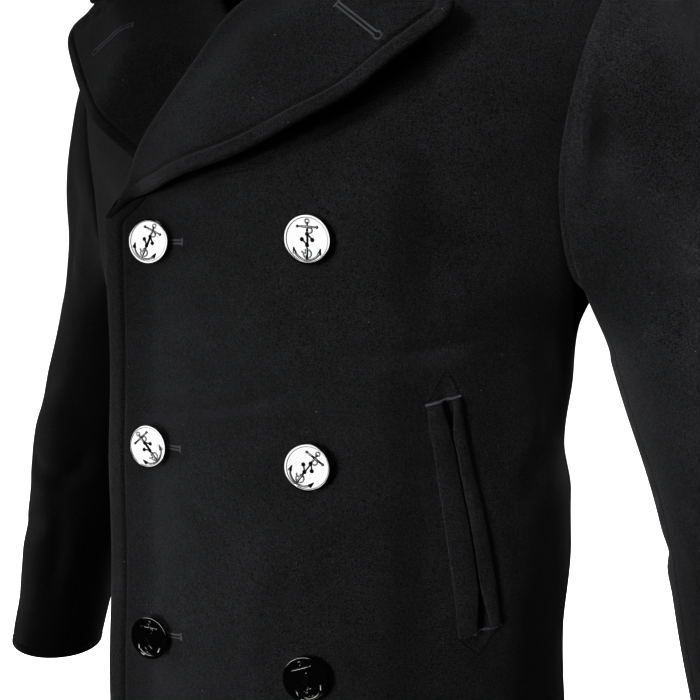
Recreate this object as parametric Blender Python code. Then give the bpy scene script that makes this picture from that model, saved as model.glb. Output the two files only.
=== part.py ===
# A double-breasted wool pea coat, filled out as when it is worn, with nobody in it.
#
# Metres, +Z up. The coat faces -Y and the wearer's left side is +X. The origin lies between
# the two neck points, where the shoulders hold the coat up. The left front laps over the right.
#
# Every cloth piece is a wall that follows one body surface. A place on that surface is an angle
# and a height: angle 0 is the wearer's left side, 90 degrees the middle of the front, 180 the
# right side and 270 the middle of the back. A lift is a distance out from the surface.

import math

import bmesh
import bpy
import mathutils
import numpy as np

# Cloth
CLOTH = 0.003               # one layer of heavy felted wool
DOUBLE_CLOTH = 0.0046       # pressed front edges, lapels and collar
SEAM = 0.0003               # space between two pieces that are sewn together
HALF_SEAM = SEAM / 2.0

# Main heights and widths
ARMPIT_Z = -0.272
SHOULDER_TIP_Z = -0.052
BREAK_Z = -0.232            # where the lapels start to fold over
FRONT_EDGE_X = 0.100        # each front reaches this far past the middle
BREAK_X = -0.096            # the fold of the left lapel at the break
ROLL_RUN = 0.2551           # how far the fold runs sideways up to the neck points
ROLL_BOW = 0.0851           # and how much of that its bow takes back

# How the left front lies over the right front
LAP_END_X = 0.132           # the left front lies on the body again from here
LAP_LIFT = 0.0053           # outside of the left front over the right front
LAPEL_LIFT = 0.0082         # extra lift of the left front where the right lapel lies under it
UNDER_EDGE_Z = -0.207       # the lower edge of the lapel underneath, at the middle and its slope
UNDER_EDGE_SLOPE = -0.32
LAPEL_FADE = 0.045          # that lift fades over this height below it
LAPEL_SETTLE = (0.006, 0.062)   # and between these distances from the fold of that lapel
EDGE_FLARE = 0.0095         # extra lift at the free front edge, where the stiff lap stays flat
FLARE_X = (0.045, 0.112)    # the flare comes in between these distances from the middle
FLARE_Z = (-0.135, -0.225)  # and between these heights
LAP_TOP_Z = (-0.118, -0.045)    # all of this fades between these heights, above the crossing
FACED_RUN = (0.020, 0.080)  # the doubled cloth of a front ends between these widths from its edge

# Rings of the body. The pulls say how much the front and back corners are pulled in from an ellipse
# z, half width, depth to the front, depth to the back, front pull, back pull
BODY_RINGS = (
    (-0.745, 0.198, 0.147, 0.140, 0.00, -0.04),
    (-0.620, 0.189, 0.147, 0.136, 0.00, -0.04),
    (-0.520, 0.185, 0.147, 0.130, 0.00, -0.04),
    (-0.440, 0.183, 0.148, 0.123, 0.00, -0.04),
    (-0.390, 0.185, 0.149, 0.120, 0.00, -0.04),
    (-0.330, 0.195, 0.148, 0.122, 0.00, -0.04),
    (-0.270, 0.206, 0.147, 0.128, -0.01, -0.04),
    (-0.200, 0.215, 0.146, 0.132, -0.04, -0.04),
    (-0.140, 0.224, 0.139, 0.132, -0.08, -0.03),
    (-0.090, 0.229, 0.126, 0.125, -0.08, -0.01),
    (-0.052, 0.226, 0.110, 0.113, 0.00, 0.02),
    (-0.036, 0.186, 0.099, 0.106, 0.00, 0.02),
    (-0.020, 0.146, 0.086, 0.099, 0.00, 0.01),
    (-0.008, 0.118, 0.075, 0.093, 0.00, 0.00),
    (0.000, 0.101, 0.068, 0.089, 0.00, 0.00),
    (0.010, 0.090, 0.064, 0.083, 0.00, 0.00),
    (0.020, 0.083, 0.061, 0.078, 0.00, 0.00),
    (0.030, 0.079, 0.059, 0.074, 0.00, 0.00),
    (0.045, 0.075, 0.057, 0.070, 0.00, 0.00),
)

# Heights of the rows of the body panels, from hem to neck
PANEL_ROWS = (
    -0.745, -0.640, -0.540, -0.450, -0.380, -0.320, -0.272, -0.267, -0.254, -0.238, -0.220,
    -0.195, -0.165, -0.135, -0.106, -0.080, -0.062, -0.054, -0.051, -0.036, -0.022, -0.010,
    -0.0004,
)
LAP_STEPS = 6               # columns of a front panel where the fronts overlap
FRONT_STEPS = 7             # and from there to the side seam
BACK_STEPS = 8              # columns of a back panel
LAP_SHARE = 0.45            # least share of a front panel that the first columns take

# Armhole: the farthest that it cuts into the front and the back, and how square the curve is
ARMHOLE_FRONT = math.radians(30.0)
ARMHOLE_BACK = math.radians(-38.0)
ARMHOLE_SQUARE_TOP = 0.85
ARMHOLE_SQUARE_LOW = 0.50
ARMHOLE_MIDDLE = (0.35, 0.65)   # the curve changes between these shares of its height
SIDE_SEAM = math.radians(-2.0)
SIDE_GAP = 0.00024          # half of the space along side and shoulder seams, where both bend

# Sleeve below the armhole: x, y and z of its middle line, half width across, half depth front to back
SLEEVE_RINGS = (
    (0.267, 0.043, -0.305, 0.058, 0.072),
    (0.291, 0.042, -0.380, 0.055, 0.066),
    (0.311, 0.034, -0.470, 0.051, 0.060),
    (0.327, 0.021, -0.560, 0.047, 0.054),
    (0.338, 0.009, -0.658, 0.042, 0.048),
)
CAP_ROWS = 6                # rows between the armhole seam and the first ring
ARM_ROWS = 7                # rows between the first ring and the cuff
CAP_CROWD = 1.25            # they crowd this much towards the seam
CAP_LEAVE = 0.35            # how strongly the cloth leaves the armhole seam
CAP_PUFF = 0.28             # and how much more so on top than below
CAP_DROP = (0.3, 0.9)       # how much it turns down the arm at once on top, and more so below
CAP_ARRIVE = (0.8, 0.5)     # how straight it runs into the arm on top, and less so below
SLEEVE_LIFT = 0.0007        # the sleeve starts this far out from the armhole edge
SLEEVE_FRONT_SEAM = math.radians(-42.0)
SLEEVE_BACK_SEAM = math.radians(202.0)
TOP_SLEEVE_STEPS = 12
UNDER_SLEEVE_TURNS = (220.0, 237.0, 252.0, 262.0, 267.8, 270.0, 272.2, 278.0, 288.0, 302.0)

# Lapel outline, seen from the front, from the break round to the notch: x, z, corner radius
LAPEL_OUTLINE = (
    (-0.080, -0.2290, 0.0),
    (-0.056, -0.2130, 0.030),
    (-0.011, -0.2035, 0.200),
    (0.079, -0.1700, 0.250),
    (0.146, -0.1175, 0.016),
    (0.100, -0.0880, 0.0),
)
LAPEL_FOOT_Z = -0.2285      # lowest point of the fold
GORGE_Z = -0.026            # the gorge seam starts here on the fold
GORGE_GAP = 0.0005
LAPEL_ROWS = 14
NOTCH_SAG = 0.011           # rows of the lapel near the gorge bow down this far to go round the notch
NOTCH_BOW = 1.5             # and lean that bow towards the free edge
FLAP_STEPS = 5              # columns of the lapels and of the leaf, which meet at the gorge seam
LEFT_ROLL_RADIUS = 0.0050
RIGHT_ROLL_RADIUS = 0.0036
LEFT_STAND_OFF = 0.0040     # how much farther the free edge of the lapel stands off the chest
RIGHT_STAND_OFF = 0.0240
STAND_OFF_RUN = 0.060       # width over which it gets there
COVERED_EDGE = 0.009        # the right lapel starts to stand off this far outside the left front
ROLL_STEPS = 4
FOLD_GAP = 0.0006           # the fold starts this far from the edge of the panel or stand below it

# Collar: the fold line round the neck, and the free edge of the leaf, as angle and height
STAND_TOP = ((40.0, 0.0040), (28.0, 0.0120), (8.0, 0.0220), (-20.0, 0.0300), (-90.0, 0.0370))
STAND_FRONT = math.radians(36.0)
FOLD_JOIN_Z = -0.004        # the fold of the lapel passes into that of the collar above this
LEAF_POINT = (0.152, -0.070)
LEAF_EDGE = (
    (43.0, -0.0440), (30.0, -0.0330), (15.0, -0.0265), (0.0, -0.0245),
    (-20.0, -0.0280), (-45.0, -0.0400), (-90.0, -0.0560),
)
LEAF_END_ROWS = 3           # rows of the leaf between the notch and its point
LEAF_SIDE_ROWS = 10         # rows from its point to the middle of the back
LEAF_BRIDGE = 0.005         # the leaf hangs this far clear of the hollow between neck and shoulder
LEAF_CROWD = 1.3            # its rows crowd this much towards the gorge seam along the fold
LEAF_SETTLE = 0.55          # the lift of the front has faded out of it after this share of the rows
FRAME_REACH = 0.006         # the direction of a fold is read over this length each way
STAND_STEPS = 14
COLLAR_ROLL_RADIUS = 0.0040

# Pocket: mouth from top to bottom as x, z, with the width of the welt and of the lip
POCKET_TOP = (0.133, -0.344)
POCKET_BOTTOM = (0.151, -0.491)
WELT_WIDTH = 0.0085
LIP_WIDTH = 0.0085
POCKET_ROWS = 6
POCKET_LIFT = 0.0008
WELT_CLOTH = 0.0022

# Buttons
BUTTON_ROWS_Z = (-0.246, -0.3845, -0.520)
BUTTON_X = 0.0606           # the column that only decorates
BUTTONED_X = -0.0590        # the column that goes through the buttonholes
BUTTON_TIP = math.radians(14.0)     # those tip towards the middle on their thread
BUTTON_GAP = 0.0004
BUTTON_RADIUS = 0.015
BUTTON_THICK = 0.0042
BUTTON_HOLE_RADIUS = 0.0012
BUTTON_HOLE_OFFSET = 0.0024
BUTTON_SIDES = 24
# Half profile of a button: share of its radius, share of its thickness
BUTTON_PROFILE = (
    (0.0, 0.0), (0.86, 0.0), (1.0, 0.40), (0.985, 0.80), (0.93, 1.0), (0.86, 0.90), (0.0, 0.78),
)

# Colours as linear red, green and blue, with roughness
WOOL_LOOK = ((0.010, 0.010, 0.011, 1.0), 0.95)
BUTTON_LOOK = ((0.008, 0.008, 0.009, 1.0), 0.18)
SHARP_ANGLE = math.radians(40.0)


def smooth_step(low, high, value):
    """0 at low, 1 at high and a soft slope between."""
    t = np.clip((np.asarray(value, dtype=float) - low) / (high - low), 0.0, 1.0)
    return t * t * (3.0 - 2.0 * t)


class SmoothTable:
    """Rows of a table joined by smooth curves that never overshoot."""

    def __init__(self, rows):
        data = np.array(rows, dtype=float)
        self.at = data[:, 0]
        self.values = data[:, 1:]
        step = np.diff(self.at)[:, None]
        slope = np.diff(self.values, axis=0) / step
        product = slope[:-1] * slope[1:]
        total = slope[:-1] + slope[1:]
        safe = np.where(np.abs(total) < 1e-12, 1.0, total)
        inner = np.where(product > 0.0, 2.0 * product / safe, 0.0)
        self.slopes = np.vstack([slope[:1], inner, slope[-1:]])

    def __call__(self, where):
        where = np.clip(np.asarray(where, dtype=float), self.at[0], self.at[-1])
        row = np.clip(np.searchsorted(self.at, where, side="right") - 1, 0, len(self.at) - 2)
        width = self.at[row + 1] - self.at[row]
        t = ((where - self.at[row]) / width)[..., None]
        width = width[..., None]
        low = self.values[row]
        high = self.values[row + 1]
        return (
            (1.0 + 2.0 * t) * (1.0 - t) ** 2 * low
            + t * (1.0 - t) ** 2 * width * self.slopes[row]
            + t * t * (3.0 - 2.0 * t) * high
            + t * t * (t - 1.0) * width * self.slopes[row + 1]
        )


body_table = SmoothTable(BODY_RINGS)


def body_surface(angle, z):
    """Point of the bare body surface."""
    angle, z = np.broadcast_arrays(np.asarray(angle, dtype=float), np.asarray(z, dtype=float))
    ring = body_table(z)
    cosine = np.cos(angle)
    sine = np.sin(angle)
    in_front = sine >= 0.0
    depth = np.where(in_front, ring[..., 1], ring[..., 2])
    pull = np.where(in_front, ring[..., 3], ring[..., 4])
    x = ring[..., 0] * cosine * (1.0 - pull * sine ** 2)
    y = -depth * sine * (1.0 - pull * cosine ** 2)
    return np.stack([x, y, z], axis=-1)


def unit(vectors):
    """Vectors at length 1."""
    return vectors / np.maximum(np.linalg.norm(vectors, axis=-1, keepdims=True), 1e-12)


def body_normal(angle, z):
    """Direction out of the body surface."""
    turn = 0.004
    rise = 0.0006
    along = body_surface(np.asarray(angle) + turn, z) - body_surface(np.asarray(angle) - turn, z)
    upward = body_surface(angle, np.asarray(z) + rise) - body_surface(angle, np.asarray(z) - rise)
    return unit(np.cross(upward, along))


def lifted(angle, z, lift):
    """Point at a distance out from the body surface."""
    lift = np.asarray(lift, dtype=float)[..., None]
    return body_surface(angle, z) + body_normal(angle, z) * lift


def angle_at(x, z):
    """Angle of the front point of the body that has this x at this height."""
    x, z = np.broadcast_arrays(np.asarray(x, dtype=float), np.asarray(z, dtype=float))
    low = np.zeros(x.shape)
    high = np.full(x.shape, math.pi)
    for _ in range(34):
        middle = (low + high) / 2.0
        beyond = body_surface(middle, z)[..., 0] > x
        low = np.where(beyond, middle, low)
        high = np.where(beyond, high, middle)
    return (low + high) / 2.0


def left_roll_x(z):
    """The fold line of the left lapel, seen from the front."""
    climb = 1.0 - np.asarray(z, dtype=float) / BREAK_Z
    return BREAK_X + ROLL_RUN * climb - ROLL_BOW * climb ** 2


def left_lead_x(z):
    """The leading edge of the left front, seen from the front."""
    turn_in = smooth_step(BREAK_Z - 0.020, BREAK_Z, z)
    edge = -FRONT_EDGE_X + (BREAK_X + FRONT_EDGE_X) * turn_in
    return np.where(np.asarray(z) < BREAK_Z, edge, left_roll_x(z))


def left_front_lift(angle, z):
    """How far the outside of the left front stands off the body."""
    x = body_surface(angle, z)[..., 0]
    over_front = 1.0 - smooth_step(FRONT_EDGE_X, LAP_END_X, x)
    past_right_fold = x + left_roll_x(np.maximum(z, BREAK_Z))
    over_lapel = smooth_step(-LAPEL_FADE, 0.0, z - UNDER_EDGE_Z - UNDER_EDGE_SLOPE * x)
    over_lapel = over_lapel * (1.0 - smooth_step(*LAPEL_SETTLE, past_right_fold))
    below_crossing = 1.0 - smooth_step(*LAP_TOP_Z, z)
    flare = smooth_step(*FLARE_X, -x) * smooth_step(*FLARE_Z, z)
    return (LAP_LIFT * over_front + LAPEL_LIFT * over_lapel) * below_crossing + EDGE_FLARE * flare


def no_lift(angle, z):
    """The outside of the other panels lies on the body surface."""
    return np.zeros(np.broadcast(angle, z).shape)


def armhole_swing(across, share):
    """How far the armhole seam is swung out, 0 to 1, for its width across and its share downwards."""
    lower = smooth_step(*ARMHOLE_MIDDLE, share)
    return np.abs(across) ** (ARMHOLE_SQUARE_TOP * (1.0 - lower) + ARMHOLE_SQUARE_LOW * lower)


def armhole_angle(z, deepest):
    """Angle of the armhole seam at a height between armpit and shoulder tip."""
    share = (SHOULDER_TIP_Z - z) / (SHOULDER_TIP_Z - ARMPIT_Z)
    across = math.sin(math.acos(1.0 - 2.0 * share))
    return deepest * float(armhole_swing(across, share)) + SIDE_SEAM * share


def panel_side_limit(z, deepest, gap):
    """Angle where a body panel ends: side seam, armhole or shoulder seam."""
    gap_angle = gap / float(body_table(z)[0])
    if z <= ARMPIT_Z:
        return SIDE_SEAM + gap_angle
    if z < SHOULDER_TIP_Z:
        return armhole_angle(z, deepest) + gap_angle
    return gap_angle


def principled(name, colour, roughness):
    """A plain material."""
    material = bpy.data.materials.new(name)
    material.use_nodes = True
    shader = material.node_tree.nodes["Principled BSDF"]
    shader.inputs["Base Color"].default_value = colour
    shader.inputs["Roughness"].default_value = roughness
    return material


def build_object(name, vertices, faces):
    """One closed piece of cloth with its own material."""
    mesh = bpy.data.meshes.new(name)
    mesh.from_pydata([tuple(point) for point in vertices], [], faces)
    work = bmesh.new()
    work.from_mesh(mesh)
    bmesh.ops.triangulate(work, faces=work.faces[:])
    bmesh.ops.recalc_face_normals(work, faces=work.faces[:])
    work.to_mesh(mesh)
    work.free()
    mesh.shade_smooth()
    mesh.set_sharp_from_angle(angle=SHARP_ANGLE)
    mesh.materials.append(principled(name, *WOOL_LOOK))
    made = bpy.data.objects.new(name, mesh)
    bpy.context.scene.collection.objects.link(made)
    return made


def grid_wall(name, outside, inside):
    """A cloth wall between two grids of points with the same rows and columns."""
    rows, columns = outside.shape[:2]
    count = rows * columns
    vertices = np.concatenate([outside.reshape(-1, 3), inside.reshape(-1, 3)])
    faces = []
    for row in range(rows - 1):
        for column in range(columns - 1):
            corner = row * columns + column
            quad = (corner, corner + 1, corner + columns + 1, corner + columns)
            faces.append(quad)
            faces.append(tuple(count + index for index in reversed(quad)))
    rim = list(range(columns))
    rim += [row * columns + columns - 1 for row in range(1, rows)]
    rim += [(rows - 1) * columns + column for column in range(columns - 2, -1, -1)]
    rim += [row * columns for row in range(rows - 2, 0, -1)]
    for index, start in enumerate(rim):
        end = rim[(index + 1) % len(rim)]
        # Edges that meet at a seam are split along the same diagonal, so that they stay apart
        if start < end:
            faces += [(start, count + start, count + end), (start, count + end, end)]
        else:
            faces += [(start, count + start, end), (end, count + start, count + end)]
    return build_object(name, vertices, faces)


def mirrored(points):
    """The same points on the other side of the coat."""
    return np.asarray(points) * np.array([-1.0, 1.0, 1.0])


def sided_wall(name, outside, inside, is_left):
    """A wall whose grids are worked out for the left side of the coat."""
    if is_left:
        return grid_wall(name, np.asarray(outside), np.asarray(inside))
    return grid_wall(name, mirrored(outside), mirrored(inside))


def front_columns(z):
    """Angles of the columns of a front at one height, from its leading edge to the side."""
    lead_x = float(left_lead_x(z))
    side = panel_side_limit(z, ARMHOLE_FRONT, SIDE_GAP)
    side_x = float(body_surface(side, z)[0])
    lap_x = lead_x + max(-2.0 * lead_x, LAP_SHARE * (side_x - lead_x))
    lap = angle_at(np.linspace(lead_x, lap_x, LAP_STEPS + 1), z)
    rest = np.linspace(lap[-1], side, FRONT_STEPS + 1)
    return np.concatenate([lap, rest[1:]])


def front_panel(name, lift_rule, is_left):
    """A front: leading edge or lapel fold on one side, side seam and armhole on the other."""
    outside = []
    inside = []
    for z in PANEL_ROWS:
        angles = front_columns(z)
        heights = np.full(angles.shape, z)
        lift = lift_rule(angles, heights)
        x = body_surface(angles, heights)[..., 0]
        faced = 1.0 - smooth_step(*FACED_RUN, x - x[0])
        thick = CLOTH + (DOUBLE_CLOTH - CLOTH) * faced
        outside.append(lifted(angles, heights, lift))
        inside.append(lifted(angles, heights, lift - thick))
    return sided_wall(name, outside, inside, is_left)


def back_panel(name, is_left):
    """Half of the back, from the middle seam to the side seam, armhole and shoulder seam."""
    outside = []
    inside = []
    for z in PANEL_ROWS:
        side = panel_side_limit(z, ARMHOLE_BACK, -SIDE_GAP)
        middle = -math.pi / 2.0 + HALF_SEAM / float(body_table(z)[0])
        angles = np.linspace(side, middle, BACK_STEPS + 1)
        heights = np.full(angles.shape, z)
        outside.append(body_surface(angles, heights))
        inside.append(lifted(angles, heights, np.full(angles.shape, -CLOTH)))
    return sided_wall(name, outside, inside, is_left)


def rounded_path(corners, count):
    """Points evenly along straight lines whose corners are rounded."""
    points = [np.array(corners[0][:2])]
    for index in range(1, len(corners) - 1):
        before = np.array(corners[index - 1][:2])
        corner = np.array(corners[index][:2])
        after = np.array(corners[index + 1][:2])
        radius = corners[index][2]
        towards = unit(before - corner)
        away = unit(after - corner)
        half = math.acos(float(np.clip(np.dot(towards, away), -1.0, 1.0))) / 2.0
        reach = min(
            radius / math.tan(half),
            0.45 * np.linalg.norm(before - corner),
            0.45 * np.linalg.norm(after - corner),
        )
        start = corner + towards * reach
        end = corner + away * reach
        for t in np.linspace(0.0, 1.0, 9):
            points.append((1 - t) ** 2 * start + 2 * t * (1 - t) * corner + t * t * end)
    points.append(np.array(corners[-1][:2]))
    return even_points(np.array(points), count)


def even_points(points, count):
    """The same path with points at even distances."""
    length = np.concatenate([[0.0], np.cumsum(np.linalg.norm(np.diff(points, axis=0), axis=1))])
    where = np.linspace(0.0, length[-1], count)
    return np.stack([np.interp(where, length, points[:, k]) for k in range(points.shape[1])], axis=1)


def table_curve(rows, where):
    """Value of a short table of angle in degrees and height, read by angle."""
    data = sorted((math.radians(angle), height) for angle, height in rows)
    return SmoothTable(data)(where)[..., 0]


def stand_top(angle):
    """Height of the top of the collar stand, the same on both sides of the back."""
    from_side = np.where(angle < -math.pi / 2.0, -math.pi - angle, angle)
    return table_curve(STAND_TOP, from_side)


def path_lengths(points):
    """Length along a path up to each of its points."""
    steps = np.linalg.norm(np.diff(points, axis=0), axis=1)
    return np.concatenate([[0.0], np.cumsum(steps)])


def fold_line():
    """The fold of lapel and collar as rows of length, angle and height, from the break to the back."""
    rise = np.arange(LAPEL_FOOT_Z, FOLD_JOIN_Z, 0.001)
    around = np.radians(np.arange(STAND_TOP[0][0], -121.0, -1.0))
    angles = np.concatenate([angle_at(left_roll_x(rise), rise), around])
    heights = np.concatenate([rise, stand_top(around)])
    return np.column_stack([path_lengths(body_surface(angles, heights)), angles, heights])


def fold_places(line, where):
    """Angles and heights at lengths along the fold."""
    return np.interp(where, line[:, 0], line[:, 1]), np.interp(where, line[:, 0], line[:, 2])


def gorge_length(line):
    """Length along the fold at which the gorge seam starts."""
    rising = line[: int(np.argmax(line[:, 2])) + 1]
    return float(np.interp(GORGE_Z, rising[:, 2], rising[:, 0]))


def fold_frames(line, where):
    """Point, outward direction and direction towards the panel at lengths along the fold."""
    point = body_surface(*fold_places(line, where))
    ahead = body_surface(*fold_places(line, where + FRAME_REACH))
    behind = body_surface(*fold_places(line, where - FRAME_REACH))
    normal = body_normal(*fold_places(line, where))
    return point, normal, unit(np.cross(unit(ahead - behind), normal))


def folded_row(point, normal, across, root_lift, radius, flap, flap_normal):
    """Outside and inside points of double cloth that rolls over the fold and lies back as a flap."""
    centre = point - across * FOLD_GAP + normal * (root_lift + radius)
    turns = math.pi * np.arange(ROLL_STEPS + 1)[:, None] / (ROLL_STEPS + 1)
    rays = -np.cos(turns) * normal - np.sin(turns) * across
    half = DOUBLE_CLOTH / 2.0
    outside = np.concatenate([centre + rays * (radius + half), flap + flap_normal * half])
    inside = np.concatenate([centre + rays * (radius - half), flap - flap_normal * half])
    return outside, inside


class FoldSide:
    """What differs between the two sides: the panel under the flap, and how the flap stands off it."""

    def __init__(self, lift_rule, radius, stand_off, is_left):
        self.lift_rule = lift_rule
        self.radius = radius
        self.stand_off = stand_off
        self.is_left = is_left

    def root_lift(self, angle, z):
        """Middle of the pressed panel edge that the fold starts from."""
        return self.lift_rule(angle, z) - DOUBLE_CLOTH / 2.0

    def flap_lift(self, angle, z):
        """Middle of the flap over the panel."""
        fold_x = left_roll_x(z)
        if not self.is_left:
            fold_x = np.maximum(fold_x, -fold_x) + COVERED_EDGE
        away = smooth_step(0.0, STAND_OFF_RUN, body_surface(angle, z)[..., 0] - fold_x)
        return self.root_lift(angle, z) + 2.0 * self.radius + self.stand_off * away


LEFT_FOLD = FoldSide(left_front_lift, LEFT_ROLL_RADIUS, LEFT_STAND_OFF, True)
RIGHT_FOLD = FoldSide(no_lift, RIGHT_ROLL_RADIUS, RIGHT_STAND_OFF, False)


def notch_place(towards_collar):
    """The notch end of the gorge seam, on one side of the space in the seam."""
    fold = np.array([float(left_roll_x(GORGE_Z)), GORGE_Z])
    notch = np.array(LAPEL_OUTLINE[-1][:2])
    along = unit(notch - fold)
    return notch + np.array([-along[1], along[0]]) * towards_collar * GORGE_GAP / 2.0


def lapel(name, line, side):
    """A lapel, from its fold to its free edge."""
    gorge = gorge_length(line)
    where = np.linspace(0.0, gorge - GORGE_GAP / 2.0, LAPEL_ROWS)
    fold_angle, fold_z = fold_places(line, where)
    fold_x = body_surface(fold_angle, fold_z)[:, 0]
    edge = rounded_path(LAPEL_OUTLINE[:-1] + ((*notch_place(-1.0), 0.0),), LAPEL_ROWS)
    point, normal, across = fold_frames(line, where)
    root = side.root_lift(fold_angle, fold_z)
    share = np.linspace(0.0, 1.0, FLAP_STEPS + 1)
    bow = np.sin(math.pi * share ** NOTCH_BOW)
    seam = unit(edge[-1] - np.array([fold_x[-1], fold_z[-1]]))
    outside = []
    inside = []
    for row in range(LAPEL_ROWS):
        rows_away = LAPEL_ROWS - 1 - row
        sag = NOTCH_SAG * rows_away * math.exp(1.0 - rows_away) * bow
        x = fold_x[row] + (edge[row, 0] - fold_x[row]) * share + sag * seam[1]
        z = fold_z[row] + (edge[row, 1] - fold_z[row]) * share - sag * seam[0]
        angle = angle_at(x, z)
        flap = lifted(angle, z, side.flap_lift(angle, z))
        out_row, in_row = folded_row(
            point[row], normal[row], across[row], root[row], side.radius, flap, body_normal(angle, z)
        )
        outside.append(out_row)
        inside.append(in_row)
    return sided_wall(name, outside, inside, side.is_left)


def collar_stand(name):
    """The band that stands up round the neck inside the leaf."""
    angles = np.linspace(STAND_FRONT, -math.pi - STAND_FRONT, 2 * STAND_STEPS + 1)
    top = stand_top(angles)
    outside = []
    inside = []
    for share in (0.0, 0.5, 1.0):
        heights = SEAM + (top - 2.0 * SEAM) * share
        outside.append(body_surface(angles, heights))
        inside.append(lifted(angles, heights, np.full(angles.shape, -CLOTH)))
    return grid_wall(name, np.array(outside), np.array(inside))


def leaf_edge_rows():
    """Free edge of half the leaf: notch, point, then round to the middle of the back."""
    notch = notch_place(1.0)
    corner = np.array(LEAF_POINT)
    end_share = np.linspace(0.0, 1.0, LEAF_END_ROWS + 1)[:, None]
    end = notch + (corner - notch) * end_share
    end = np.column_stack([angle_at(end[:, 0], end[:, 1]), end[:, 1]])
    angles = np.radians(np.arange(LEAF_EDGE[0][0], -91.0, -1.0))
    side = np.column_stack([angles, table_curve(LEAF_EDGE, angles)])
    side = np.concatenate([end[-1:], side])
    length = path_lengths(body_surface(side[:, 0], side[:, 1]))
    where = np.linspace(0.0, length[-1], LEAF_SIDE_ROWS + 1)[1:]
    side = np.column_stack([np.interp(where, length, side[:, k]) for k in range(2)])
    return np.concatenate([end, side])


def leaf_half(line, side):
    """Outside and inside grids of half the leaf, for the left side, from the gorge to the back."""
    edge = leaf_edge_rows()
    rows = len(edge)
    gorge = gorge_length(line)
    back = float(np.interp(math.pi / 2.0, -line[:, 1], line[:, 0]))
    progress = np.linspace(0.0, 1.0, rows)
    start = gorge + GORGE_GAP / 2.0
    where = start + (back - start) * progress ** LEAF_CROWD
    fold_angle, fold_z = fold_places(line, where)
    point, normal, across = fold_frames(line, where)
    settle = smooth_step(0.0, LEAF_SETTLE, progress)
    root = side.root_lift(fold_angle, fold_z) * (1.0 - settle) - CLOTH / 2.0 * settle
    radius = side.radius * (1.0 - settle) + COLLAR_ROLL_RADIUS * settle
    by_front_view = 1.0 - smooth_step(0.0, LEAF_END_ROWS + 1.0, np.arange(rows))
    share = np.linspace(0.0, 1.0, FLAP_STEPS + 1)
    outside = []
    inside = []
    for row in range(rows):
        fold_x = float(point[row, 0])
        edge_x = float(body_surface(edge[row, 0], edge[row, 1])[0])
        z = fold_z[row] + (edge[row, 1] - fold_z[row]) * share
        angle = fold_angle[row] + (edge[row, 0] - fold_angle[row]) * share
        if by_front_view[row] > 0.0:
            straight = angle_at(fold_x + (edge_x - fold_x) * share, z)
            angle = angle + (straight - angle) * by_front_view[row]
        bridge = LEAF_BRIDGE * np.sin(math.pi * share) * settle[row]
        settled = -CLOTH / 2.0 + 2.0 * COLLAR_ROLL_RADIUS + bridge
        height = side.flap_lift(angle, z) * (1.0 - settle[row]) + settled * settle[row]
        flap = lifted(angle, z, height)
        out_row, in_row = folded_row(
            point[row], normal[row], across[row], root[row], radius[row], flap, body_normal(angle, z)
        )
        outside.append(out_row)
        inside.append(in_row)
    return np.array(outside), np.array(inside)


def collar_leaf(name, line):
    """The turned-down leaf of the collar, from the fold round the neck to its free edge."""
    left_out, left_in = leaf_half(line, LEFT_FOLD)
    right_out, right_in = leaf_half(line, RIGHT_FOLD)
    outside = np.concatenate([left_out, mirrored(right_out[-2::-1])])
    inside = np.concatenate([left_in, mirrored(right_in[-2::-1])])
    return grid_wall(name, outside, inside)


def armhole_ring(turns):
    """Angles and heights of the armhole seam for turns round the sleeve: 0 front, 90 top, 180 back."""
    share = (1.0 - np.sin(turns)) / 2.0
    height = SHOULDER_TIP_Z + (ARMPIT_Z - SHOULDER_TIP_Z) * share
    deepest = np.where(np.cos(turns) >= 0.0, ARMHOLE_FRONT, ARMHOLE_BACK)
    return deepest * armhole_swing(np.cos(turns), share) + SIDE_SEAM * share, height


def arm_rings(turns):
    """Rows of points round the sleeve from its first ring to the cuff, and its direction at the top."""
    rings = np.array(SLEEVE_RINGS)
    length = path_lengths(rings[:, :3])
    rings = SmoothTable(np.column_stack([length, rings]))(np.linspace(0.0, length[-1], ARM_ROWS + 1))
    axis = unit(np.gradient(rings[:, :3], axis=0))
    side = unit(np.cross(np.array([0.0, 1.0, 0.0]), -axis))
    fore = np.cross(axis, side)
    rows = []
    for ring, to_side, to_front in zip(rings, side, fore):
        rows.append(
            ring[:3]
            + np.outer(np.sin(turns) * ring[3], to_side)
            + np.outer(np.cos(turns) * ring[4], to_front)
        )
    return rows, axis[0]


def sleeve_points(turns):
    """Points of the outside of the left sleeve."""
    arm_rows, down_arm = arm_rings(turns)
    angle, height = armhole_ring(turns)
    outward = body_normal(angle, height)
    start = body_surface(angle, height) + outward * SLEEVE_LIFT
    low = ((1.0 - np.sin(turns)) / 2.0)[:, None]
    run = np.linalg.norm(arm_rows[0] - start, axis=1)[:, None]
    leave = unit(outward + down_arm * (CAP_DROP[0] + CAP_DROP[1] * low))
    leave = leave * run * (CAP_LEAVE + CAP_PUFF * (1.0 - low))
    arrive = down_arm * run * (CAP_ARRIVE[0] - CAP_ARRIVE[1] * low)
    cap_rows = []
    for row in range(CAP_ROWS):
        t = (row / CAP_ROWS) ** CAP_CROWD
        cap_rows.append(
            (1.0 + 2.0 * t) * (1.0 - t) ** 2 * start
            + t * (1.0 - t) ** 2 * leave
            + t * t * (3.0 - 2.0 * t) * arm_rows[0]
            + t * t * (t - 1.0) * arrive
        )
    return np.array(cap_rows + arm_rows)


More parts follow.
